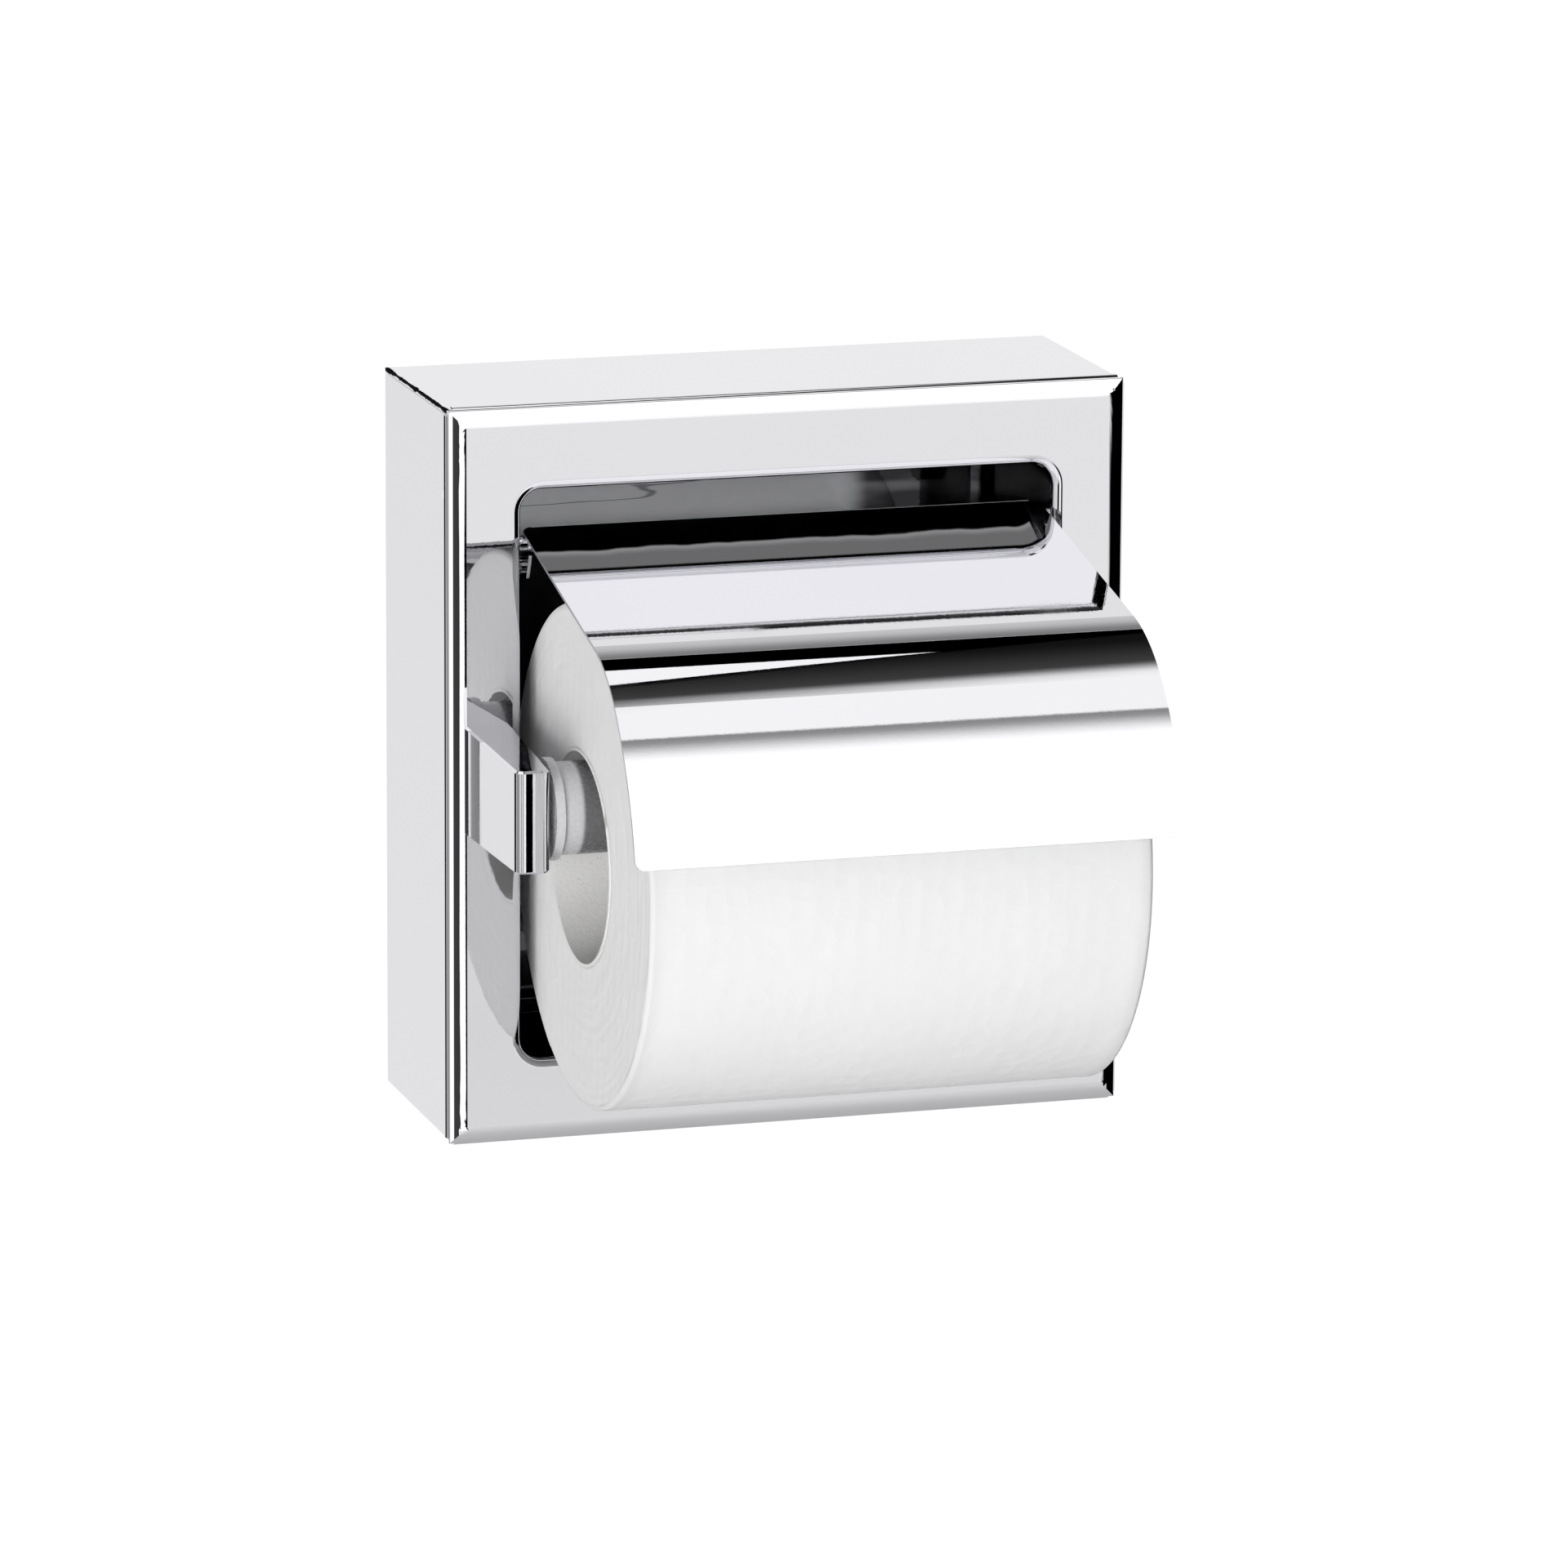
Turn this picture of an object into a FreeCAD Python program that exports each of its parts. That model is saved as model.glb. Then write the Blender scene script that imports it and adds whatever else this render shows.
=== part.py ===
import FreeCAD, Part
import math
import operator
import os
import types

import Sketcher
from FreeCAD import Rotation, Vector

# Surface-mounted toilet paper dispenser with a hood, in millimetres.
# The wall is the plane Y = 0, the front faces -Y, +Z is up, and the origin is the middle of the back face.

DRIVING_SIZES = (
    # Collar: folded sheet that stands off the wall
    ("collar_depth", 53.0, "from the wall to the front edge"),
    ("collar_sheet", 0.9, "sheet thickness"),
    ("collar_bend", 1.2, "outside bend radius"),
    ("collar_seam", 0.25, "gap of the seam at the top left corner"),
    ("back_lip", 9.0, "width of the lips turned in along the wall"),
    ("back_lip_relief", 12.0, "length of a back lip cut away at each corner"),
    # Recess housing: drawn pan, flat flange, bevelled edge and lip
    ("housing_sheet", 0.6, "sheet thickness"),
    ("flange_ahead", 2.6, "front of the flange ahead of the collar"),
    ("flange_beside", 14.3, "from the collar's side to the opening"),
    ("flange_above", 16.2, "from the collar's top to the opening"),
    ("lip_cover", 0.8, "how far the lip reaches back over the collar"),
    ("lip_relief", 1.8, "length of lip cut away at each corner"),
    ("bevel_width", 2.95, "bevel, across the front"),
    ("bevel_depth", 1.63, "bevel, from front to back"),
    ("bevel_outer_round", 1.6, "round between lip and bevel"),
    ("bevel_inner_round", 6.0, "round between bevel and flange"),
    ("opening_corner", 7.0, "corner radius of the opening at the flange"),
    ("opening_roll", 2.2, "rolled rim of the opening"),
    ("pan_back_gap", 5.4, "from the wall to the back of the pan"),
    ("pan_back_round", 4.0, "inside round along the back of the pan"),
    # Wall bracket
    ("bracket_sheet", 1.5, "sheet thickness"),
    ("bracket_inset", 21.7, "side of the plate inside the collar's side"),
    ("hook_width", 64.0, "width of the hook that holds the collar"),
    ("hook_under_lip", 3.6, "start of the hook's step under the collar's back lip"),
    ("hook_step", 2.5, "rise of the step"),
    ("bracket_over_lip", 0.6, "lower flange over the collar's lower back lip"),
    ("bracket_reach", 14.0, "how far the lower flange stands off the wall"),
    ("tongue_width", 28.0, "width of the lower flange"),
    ("bracket_bend", 0.6, "inside bend radius"),
    ("wall_hole_across", 80.0, "spacing of the wall holes along X"),
    ("wall_hole_up", 100.0, "spacing of the wall holes along Z"),
    ("wall_hole_width", 5.5, "wall hole diameter"),
    ("hang_gap", 0.1, "between the hook and the collar's top"),
    ("hook_gap", 0.2, "between the hook and the collar's back lip"),
    ("lock_stand_out", 8.0, "from the wall to the locking screw"),
    # Fasteners
    ("screw_width", 4.0, "shank diameter"),
    ("screw_head_width", 7.0, "head diameter"),
    ("screw_head_height", 2.4, "head height"),
    ("screw_fit", 0.05, "radial clearance of a shank in its hole"),
    ("hex_width", 2.5, "hex socket across the flats"),
    ("hex_depth", 1.4, "depth of the hex socket"),
    ("post_screw_length", 10.0, "under the head"),
    ("lock_screw_length", 16.0, "under the head"),
    ("nut_width", 7.0, "across the flats"),
    ("nut_height", 3.2, "nut height"),
    ("post_screw_edge", 6.3, "from a screw to the end of the post's base"),
    ("post_hole_depth", 9.4, "screw hole in the post"),
    ("backing_overlap", 7.7, "backing plate past the end of the post's base"),
    ("backing_sheet", 2.0, "thickness of a backing plate"),
    # Posts
    ("post_inset", 3.4, "outer face inside the collar's side"),
    ("post_base_width", 10.4, "width at the flange"),
    ("post_thinning", 2.7, "loss of width up to the tip"),
    ("post_base_height", 24.6, "height at the flange"),
    ("post_tip_drop", 0.9, "fall of the top face up to the tip"),
    ("post_past_spindle", 12.3, "tip ahead of the spindle axis"),
    ("post_edge_chamfer", 0.5, "eased edges along the top and bottom"),
    ("post_tip_round", 2.0, "rounded upright edges of the tip"),
    # Hood
    ("hinge_behind", 4.6, "hinge axis behind the front of the flange"),
    ("hinge_under_pan", 12.6, "hinge axis under the pan's upper wall"),
    ("hood_sheet", 0.7, "sheet thickness"),
    ("hood_overhang", 2.0, "rear edge behind the hinge axis"),
    ("hood_rise", 3.21, "top of the rear edge above the hinge axis"),
    ("hood_slope_angle", 12.03, "fall of the flat part in degrees"),
    ("hood_bend_angle", 45.0, "fall at the end of the tighter bend in degrees"),
    ("hood_front_angle", 77.4, "fall at the lower edge in degrees"),
    ("hood_flat_share", 1.1649, "length of the flat part, in paper radii"),
    ("hood_bend_share", 0.6344, "tighter bend, in paper radii"),
    ("hood_front_share", 1.1649, "wider bend, in paper radii"),
    ("hood_rear_gap", 1.4, "hood's rear corners inside the pan's side walls"),
    ("hood_front_flare", 1.7, "hood's lower corners outside its rear corners"),
    ("hood_rear_corner", 3.0, "rounded rear corners"),
    ("hood_front_corner", 2.2, "rounded lower corners"),
    ("ear_front", 7.0, "ear ahead of the hinge axis, at the sheet"),
    ("ear_lug_drop", 2.3, "lower edge of the ear's lug under the hinge axis"),
    ("ear_heel_drop", 8.1, "lower end of the heel under the hinge axis"),
    ("ear_heel_back", 3.2, "rear face of the heel behind the hinge axis"),
    ("ear_heel_width", 3.7, "width of the heel at its lower end"),
    ("ear_corner", 1.2, "rounded corners of the ear"),
    # Hinge pins, spacers and stops
    ("hinge_pin_width", 2.6, "pin diameter"),
    ("hinge_fit", 0.05, "radial clearance on the pin"),
    ("hinge_head_width", 3.4, "diameter of the pin's heads"),
    ("hinge_head_height", 0.9, "height of the pin's heads"),
    ("hinge_spacer_width", 3.6, "spacer diameter"),
    ("hinge_spacer_length", 1.95, "spacer length"),
    ("hinge_side_gap", 0.05, "play of an ear between spacer and head"),
    ("stop_width", 4.0, "diameter of the stud welded on the wall"),
    ("stop_drop", 6.1, "stud under the hinge axis"),
    ("stop_length", 3.2, "stud length"),
    ("stop_gap", 0.05, "between the stud and the heel"),
    # Spindle
    ("spindle_end_gap", 0.93, "between a spindle end and its post"),
    ("plunger_radius", 10.2, "plunger tube"),
    ("plunger_wall", 1.4, "plunger tube wall"),
    ("plunger_flange_radius", 11.3, "end flange of the plunger"),
    ("plunger_inner_end", 20.0, "plunger's inner end, from the centre plane"),
    ("sleeve_radius", 11.9, "sleeve tube"),
    ("sleeve_fit", 0.08, "radial clearance of the plunger in the sleeve"),
    ("sleeve_inner_end", 10.0, "sleeve's open end, past the centre plane"),
    ("spindle_end_wall", 2.0, "end walls and end flange"),
    ("nib_radius", 2.5, "nib on each end"),
    ("sleeve_chamfer", 0.7, "chamfer of the sleeve's closed end"),
    ("nib_fit", 0.08, "radial clearance of a nib in its socket"),
    ("nib_end_gap", 0.1, "between a nib and the bottom of its socket"),
    ("socket_depth", 3.8, "depth of a post's socket"),
    ("lug_height", 1.0, "snap lug on the plunger"),
    ("lug_width", 4.0, "across the lug"),
    ("lug_length", 4.0, "along the lug"),
    ("lug_inset", 2.0, "lug behind the plunger's inner end"),
    ("lug_fit", 0.1, "side clearance of a lug in its slot"),
    ("plunger_travel", 8.0, "how far the plunger goes in"),
    ("slot_slack", 2.0, "how far the plunger comes out when free"),
    ("spring_wire", 0.9, "side of the square spring wire"),
    ("spring_mean_radius", 5.5, "spring coil"),
    ("spring_turns", 5.0, "number of coils"),
    ("spring_end_gap", 0.2, "between the spring and the end walls"),
    # Roll
    ("core_inner_radius", 23.3, "inside of the cardboard tube"),
    ("core_wall", 0.7, "wall of the cardboard tube"),
    ("core_rest_gap", 0.1, "between the core and the sleeve it hangs on"),
    ("paper_fit", 0.03, "between the core and the paper"),
    ("paper_radius", 55.8, "outside of the paper"),
    ("roll_width", 113.4, "width of the roll"),
    ("roll_side_gap", 4.5, "between the roll and the pan's side walls"),
    ("roll_ahead_share", 0.6362, "roll's axis ahead of the hinge axis, in paper radii"),
    ("roll_drop_share", 1.12724, "roll's axis under the hinge axis, in paper radii"),
)

OPERATIONS = {"+": operator.add, "-": operator.sub, "*": operator.mul, "/": operator.truediv}
TOLERANCE = 1e-4
OVER_CUT = 1.0  # how far a cut runs past the sheet it goes through

doc = FreeCAD.newDocument("paper_dispenser")


class Size:
    """A number together with the sheet expression that gives it."""

    def __init__(self, value, text):
        self.value = value
        self.text = text

    def __add__(self, other):
        return combined(self, "+", other)

    def __radd__(self, other):
        return combined(other, "+", self)

    def __sub__(self, other):
        return combined(self, "-", other)

    def __rsub__(self, other):
        return combined(other, "-", self)

    def __mul__(self, other):
        return combined(self, "*", other)

    def __rmul__(self, other):
        return combined(other, "*", self)

    def __truediv__(self, other):
        return combined(self, "/", other)

    def __neg__(self):
        return combined(-1.0, "*", self)


def as_size(number):
    return number if isinstance(number, Size) else Size(float(number), f"({float(number)})")


def combined(left, sign, right):
    left, right = as_size(left), as_size(right)
    return Size(OPERATIONS[sign](left.value, right.value), f"({left.text} {sign} {right.text})")


def sine(angle):
    return Size(math.sin(math.radians(angle.value)), f"sin({angle.text})")


def cosine(angle):
    return Size(math.cos(math.radians(angle.value)), f"cos({angle.text})")


def tangent(angle):
    return Size(math.tan(math.radians(angle.value)), f"tan({angle.text})")


def slope_angle(rise, run):
    """Angle in degrees of a slope with this rise over this run."""
    degrees = math.degrees(math.atan2(rise.value, run.value))
    return Size(degrees, f"(atan({rise.text} / {run.text}) / 1 deg)")


def make_sheet():
    """Fill the spreadsheet and return the driving sizes by name."""
    sheet = doc.addObject("Spreadsheet::Sheet", "Sizes")
    sizes = {}
    for row, (alias, value, note) in enumerate(DRIVING_SIZES, start=1):
        sheet.set(f"A{row}", note)
        sheet.set(f"B{row}", str(value))
        sheet.setAlias(f"B{row}", alias)
        sizes[alias] = Size(value, f"Sizes.{alias}")
    doc.recompute()
    return types.SimpleNamespace(**sizes)


def bind(item, path, size):
    """Bind one property of an object to a size."""
    item.setExpression(path, as_size(size).text)


def new_body(label):
    body = doc.addObject("PartDesign::Body", label)
    body.Label = label
    return body


def place(body, across=0.0, back=0.0, up=0.0, turn=None):
    """Put a body at a point of the part's frame, turned where asked."""
    if turn is not None:
        body.Placement.Rotation = turn
    for path, size in (("x", across), ("y", back), ("z", up)):
        bind(body, f"Placement.Base.{path}", size)


def sketch_on(body, plane, name, offset=None):
    """A sketch on one of the body's own origin planes, moved along the plane's normal."""
    sketch = body.newObject("Sketcher::SketchObject", name)
    support = next(item for item in body.Origin.OriginFeatures if item.Role == plane)
    sketch.AttachmentSupport = (support, [""])
    sketch.MapMode = "FlatFace"
    if offset is not None:
        bind(sketch, "AttachmentOffset.Base.z", offset)
    return sketch


def dimension(sketch, kind, where, size):
    """Add one dimension to a sketch and bind it to a size."""
    number = sketch.addConstraint(Sketcher.Constraint(kind, *where, size.value))
    sketch.setExpression(f"Constraints[{number}]", size.text)


def pin_point(sketch, curve, point, across, up):
    """Give a curve's point its two distances from the sketch's origin."""
    origin = (-1, 1)
    dimension(sketch, "DistanceX", (*origin, curve, point), across)
    dimension(sketch, "DistanceY", (*origin, curve, point), up)


def pin_radius(sketch, curve, radius):
    dimension(sketch, "Radius", (curve,), radius)


def arc_between(start, end, radius, turn):
    """Arc from start to end; turn is 1 for a left-hand bend and -1 for a right-hand one."""
    chord = end - start
    side = Vector(-chord.y, chord.x, 0).normalize()
    rise = math.sqrt(radius**2 - (chord.Length / 2) ** 2)
    centre = (start + end) / 2 + side * (rise * turn)
    first, last = (start, end) if turn > 0 else (end, start)
    angles = [math.atan2(point.y - centre.y, point.x - centre.x) for point in (first, last)]
    return Part.ArcOfCircle(Part.Circle(centre, Vector(0, 0, 1), radius), *angles)


def outline(sketch, corners, arcs=None):
    """A closed outline through corners; arcs maps a side's number to its radius and turn."""
    arcs = arcs or {}
    corners = [(as_size(across), as_size(up)) for across, up in corners]
    points = [Vector(across.value, up.value, 0) for across, up in corners]
    first = sketch.GeometryCount
    ends = []
    for number, start in enumerate(points):
        end = points[(number + 1) % len(points)]
        if number in arcs:
            radius, turn = arcs[number]
            sketch.addGeometry(arc_between(start, end, radius.value, turn), False)
            ends.append((1, 2) if turn > 0 else (2, 1))
        else:
            sketch.addGeometry(Part.LineSegment(start, end), False)
            ends.append((1, 2))
    for number in range(len(points)):
        following = (number + 1) % len(points)
        join = (first + number, ends[number][1], first + following, ends[following][0])
        sketch.addConstraint(Sketcher.Constraint("Coincident", *join))
    for number, (across, up) in enumerate(corners):
        pin_point(sketch, first + number, ends[number][0], across, up)
    for number, (radius, _) in arcs.items():
        pin_radius(sketch, first + number, radius)


def rectangle(sketch, left, right, low, high):
    outline(sketch, [(left, low), (right, low), (right, high), (left, high)])


def centred_rectangle(sketch, half_width, half_height):
    rectangle(sketch, -half_width, half_width, -half_height, half_height)


def rounded_rectangle(sketch, half_width, half_height, radius):
    """A centred rectangle whose four corners are arcs."""
    wide, high = half_width - radius, half_height - radius
    corners = [
        (-wide, -half_height), (wide, -half_height), (half_width, -high), (half_width, high),
        (wide, half_height), (-wide, half_height), (-half_width, high), (-half_width, -high),
    ]
    outline(sketch, corners, {side: (radius, 1) for side in (1, 3, 5, 7)})


def circle(sketch, across, up, radius):
    across, up, radius = as_size(across), as_size(up), as_size(radius)
    shape = Part.Circle(Vector(across.value, up.value, 0), Vector(0, 0, 1), radius.value)
    number = sketch.addGeometry(shape, False)
    pin_point(sketch, number, 3, across, up)
    pin_radius(sketch, number, radius)


def pad(body, sketch, length, name, reverse=False):
    feature = body.newObject("PartDesign::Pad", name)
    feature.Profile = sketch
    feature.Reversed = reverse
    bind(feature, "Length", length)
    doc.recompute()


def pocket(body, sketch, name, length=None, along_normal=False):
    """Cut a sketch into the body, through all of it where no length is given."""
    before = body.Shape.Volume
    feature = body.newObject("PartDesign::Pocket", name)
    feature.Profile = sketch
    feature.Reversed = along_normal
    if length is None:
        feature.Type = "ThroughAll"
    else:
        bind(feature, "Length", length)
    doc.recompute()
    if body.Shape.Volume > before - TOLERANCE:
        raise ValueError(f"{body.Label}: {name} cuts nothing")


def loft(body, kind, start, end, name):
    feature = body.newObject(kind, name)
    feature.Profile = start
    feature.Sections = [end]
    feature.Ruled = True
    doc.recompute()


def revolve(body, sketch, axis, name):
    feature = body.newObject("PartDesign::Revolution", name)
    feature.Profile = sketch
    feature.ReferenceAxis = (sketch, [axis])
    feature.Angle = 360.0
    doc.recompute()


def near(first, second):
    return abs(first - as_size(second).value) < TOLERANCE


def dress_edges(body, kind, test, name, keep):
    """Treat the edges whose ends and middle all pass the test, and whose middle passes keep."""
    base = body.Tip
    names = []
    for number, edge in enumerate(base.Shape.Edges, start=1):
        middle = edge.valueAt((edge.FirstParameter + edge.LastParameter) / 2)
        points = [vertex.Point for vertex in edge.Vertexes] + [middle]
        if all(test(point) for point in points) and (keep is None or keep(middle)):
            names.append(f"Edge{number}")
    if not names:
        raise ValueError(f"{body.Label}: {name} finds no edge")
    feature = body.newObject(kind, name)
    feature.Base = (base, names)
    return feature


def round_edges(body, radius, test, name, keep=None):
    feature = dress_edges(body, "PartDesign::Fillet", test, name, keep)
    bind(feature, "Radius", radius)
    doc.recompute()


def ease_edges(body, width, test, name, keep=None):
    feature = dress_edges(body, "PartDesign::Chamfer", test, name, keep)
    bind(feature, "Size", width)
    doc.recompute()


s = make_sheet()

# Sizes that follow from the driving ones, from the roll outwards
core_outer_radius = s.core_inner_radius + s.core_wall
roll_centre = s.sleeve_radius + s.core_rest_gap - s.core_inner_radius
flange_front = s.collar_depth + s.flange_ahead
hinge_stand_out = flange_front - s.hinge_behind
hinge_height = roll_centre + s.paper_radius * s.roll_drop_share
spindle_stand_out = hinge_stand_out + s.paper_radius * s.roll_ahead_share
spindle_reach = spindle_stand_out - flange_front
pan_half_width = s.roll_width / 2 + s.roll_side_gap
pan_half_height = hinge_height + s.hinge_under_pan
collar_half_width = pan_half_width + s.opening_roll + s.flange_beside
collar_half_height = pan_half_height + s.opening_roll + s.flange_above
lip_half_width = collar_half_width + s.housing_sheet
lip_half_height = collar_half_height + s.housing_sheet
lip_rear = s.collar_depth - s.lip_cover
flange_rear = flange_front - s.housing_sheet
bevel_angle = slope_angle(s.bevel_depth, s.bevel_width)
bevel_start = flange_front - s.bevel_depth
pan_corner = s.opening_corner - s.opening_roll
pan_back = s.pan_back_gap + s.housing_sheet
bracket_width = 2 * (collar_half_width - s.bracket_inset)
back_lip_edge = collar_half_height - s.back_lip
hook_start = back_lip_edge - s.hook_under_lip
bracket_drop = back_lip_edge - s.bracket_over_lip
post_outer_face = collar_half_width - s.post_inset
post_length = spindle_reach + s.post_past_spindle
post_taper = s.post_thinning / post_length
post_screw_spacing = s.post_base_height - 2 * s.post_screw_edge
backing_height = s.post_base_height + 2 * s.backing_overlap
post_screw_across = post_outer_face - s.post_base_width / 2
post_face_at_spindle = post_outer_face - s.post_base_width + post_taper * spindle_reach
spindle_half = post_face_at_spindle - s.spindle_end_gap
nib_end = post_face_at_spindle + s.socket_depth - s.nib_end_gap
hood_flat = s.paper_radius * s.hood_flat_share
hood_bend_radius = s.paper_radius * s.hood_bend_share
hood_front_radius = s.paper_radius * s.hood_front_share
hood_rear_half = pan_half_width - s.hood_rear_gap
hood_front_half = hood_rear_half + s.hood_front_flare
ear_outer = pan_half_width - s.hinge_spacer_length - s.hinge_side_gap
ear_inner = ear_outer - s.hood_sheet
screw_radius = s.screw_width / 2
screw_hole = screw_radius + s.screw_fit
hinge_pin_radius = s.hinge_pin_width / 2
hinge_hole = hinge_pin_radius + s.hinge_fit
stop_back = s.ear_heel_back + s.stop_gap + s.stop_width / 2
SIDES = (("left", -1), ("right", 1))
LEVELS = (("lower", -1), ("upper", 1))
FORWARD = Rotation(Vector(1, 0, 0), 90)


def make_surface_collar():
    """Four folded walls with lips turned in along the wall, open at one seam."""
    body = new_body("surface_collar")
    inner_width = collar_half_width - s.collar_sheet
    inner_height = collar_half_height - s.collar_sheet
    walls = sketch_on(body, "XZ_Plane", "collar_section")
    centred_rectangle(walls, collar_half_width, collar_half_height)
    centred_rectangle(walls, inner_width, inner_height)
    pad(body, walls, s.collar_depth, "collar_walls")

    lips = sketch_on(body, "XZ_Plane", "back_lips")
    lip_width, lip_height = collar_half_width - s.back_lip, collar_half_height - s.back_lip
    reach_width = collar_half_width - s.back_lip_relief
    reach_height = collar_half_height - s.back_lip_relief
    middle_width = collar_half_width - s.collar_sheet / 2
    middle_height = collar_half_height - s.collar_sheet / 2
    rectangle(lips, -reach_width, reach_width, lip_height, middle_height)
    rectangle(lips, -reach_width, reach_width, -middle_height, -lip_height)
    rectangle(lips, -middle_width, -lip_width, -reach_height, reach_height)
    rectangle(lips, lip_width, middle_width, -reach_height, reach_height)
    pad(body, lips, s.collar_sheet, "back_lip_strips")

    # The folded corners are round; the top left one is the seam, where the sheet's ends meet
    def folded(half_width, half_height):
        def test(point):
            on_corner = near(abs(point.x), half_width) and near(abs(point.z), half_height)
            return on_corner and not (point.x < 0 < point.z)
        return test
    round_edges(body, s.collar_bend, folded(collar_half_width, collar_half_height), "outer_bends")
    inner_bend = s.collar_bend - s.collar_sheet
    round_edges(body, inner_bend, folded(inner_width, inner_height), "inner_bends")
    seam = sketch_on(body, "XZ_Plane", "seam_gap")
    seam_left = -collar_half_width - OVER_CUT
    rectangle(seam, seam_left, -inner_width, inner_height - s.collar_seam, inner_height)
    pocket(body, seam, "seam", along_normal=True)

    lock = sketch_on(body, "XY_Plane", "lock_hole", -inner_height)
    circle(lock, 0.0, -s.lock_stand_out, screw_hole)
    pocket(body, lock, "lock_screw_hole")
    place(body)


def make_recess_housing():
    """One drawn sheet: pan, rolled rim, flange, bevel and lip."""
    body = new_body("recess_housing")
    sheet = s.housing_sheet
    face_width, face_height = lip_half_width - s.bevel_width, lip_half_height - s.bevel_width

    # Outside of the flange: lip, then a bevel with mitred corners
    lip = sketch_on(body, "XZ_Plane", "lip_outline", lip_rear)
    centred_rectangle(lip, lip_half_width, lip_half_height)
    pad(body, lip, bevel_start - lip_rear, "lip_block")
    bevel_rear = sketch_on(body, "XZ_Plane", "bevel_rear", bevel_start)
    centred_rectangle(bevel_rear, lip_half_width, lip_half_height)
    bevel_front = sketch_on(body, "XZ_Plane", "bevel_front", flange_front)
    centred_rectangle(bevel_front, face_width, face_height)
    loft(body, "PartDesign::AdditiveLoft", bevel_rear, bevel_front, "bevel_block")
    round_edges(body, s.bevel_inner_round, at_depth(flange_front), "bevel_inner_edge")
    round_edges(body, s.bevel_outer_round, at_depth(bevel_start), "bevel_outer_edge")

    # Hollow behind the flange, one sheet thickness inside
    steep_turn = 90 - bevel_angle
    hollow_turn = bevel_start - sheet * tangent(steep_turn / 2)
    hollow_width = face_width - sheet * tangent(bevel_angle / 2)
    hollow_height = face_height - sheet * tangent(bevel_angle / 2)
    hollow = sketch_on(body, "XZ_Plane", "hollow_rear", lip_rear)
    centred_rectangle(hollow, collar_half_width, collar_half_height)
    pocket(body, hollow, "hollow_block", length=hollow_turn - lip_rear, along_normal=True)
    hollow_start = sketch_on(body, "XZ_Plane", "hollow_start", hollow_turn)
    centred_rectangle(hollow_start, collar_half_width, collar_half_height)
    hollow_end = sketch_on(body, "XZ_Plane", "hollow_end", flange_rear)
    centred_rectangle(hollow_end, hollow_width, hollow_height)
    loft(body, "PartDesign::SubtractiveLoft", hollow_start, hollow_end, "hollow_bevel")

    # The lip stops short of each corner
    for side, across in SIDES:
        for level, up in LEVELS:
            relief = sketch_on(body, "XZ_Plane", f"lip_relief_{side}_{level}", lip_rear)
            outer_x, outer_z = across * (lip_half_width + OVER_CUT), up * (lip_half_height + OVER_CUT)
            inner_x, inner_z = across * collar_half_width, up * collar_half_height
            end_x = across * (lip_half_width - s.lip_relief)
            end_z = up * (lip_half_height - s.lip_relief)
            corners = [
                (outer_x, outer_z), (end_x, outer_z), (end_x, inner_z),
                (inner_x, inner_z), (inner_x, end_z), (outer_x, end_z),
            ]
            outline(relief, corners)
            pocket(body, relief, f"relief_{side}_{level}", along_normal=True)

    # Pan: outside, then its hollow with the rolled rim
    outer_width, outer_height = pan_half_width + sheet, pan_half_height + sheet
    outer = sketch_on(body, "XZ_Plane", "pan_outside", s.pan_back_gap)
    rounded_rectangle(outer, outer_width, outer_height, pan_corner + sheet)
    pad(body, outer, flange_rear + sheet / 2 - s.pan_back_gap, "pan_block")
    hollow_pan = sketch_on(body, "XZ_Plane", "pan_inside", flange_front)
    rounded_rectangle(hollow_pan, pan_half_width, pan_half_height, pan_corner)
    pocket(body, hollow_pan, "pan_hollow", length=flange_front - pan_back)
    rim = at_depth(flange_front, pan_half_width, pan_half_height)
    round_edges(body, s.opening_roll, rim, "rolled_rim")
    round_edges(body, s.pan_back_round, at_depth(pan_back), "pan_back_inside")
    round_edges(body, s.pan_back_round + sheet, at_depth(s.pan_back_gap), "pan_back_outside")

    # Holes for the posts' screws and the hood's pins
    screws = sketch_on(body, "XZ_Plane", "post_screw_holes", flange_rear)
    for _, across in SIDES:
        for _, up in LEVELS:
            circle(screws, across * post_screw_across, up * post_screw_spacing / 2, screw_hole)
    pocket(body, screws, "screw_holes", along_normal=True)
    for side, across in SIDES:
        pins = sketch_on(body, "YZ_Plane", f"pin_holes_{side}", across * pan_half_width)
        circle(pins, -hinge_stand_out, hinge_height, hinge_hole)
        pocket(body, pins, f"pin_hole_{side}", length=sheet + OVER_CUT, along_normal=across > 0)
    place(body)


def at_depth(depth, half_width=lip_half_width, half_height=lip_half_height):
    """Test for the edges at one distance from the wall, no further out than these half sizes."""
    def test(point):
        in_width = abs(point.x) < half_width.value + TOLERANCE
        in_height = abs(point.z) < half_height.value + TOLERANCE
        return near(point.y, -depth) and in_width and in_height
    return test


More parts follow.
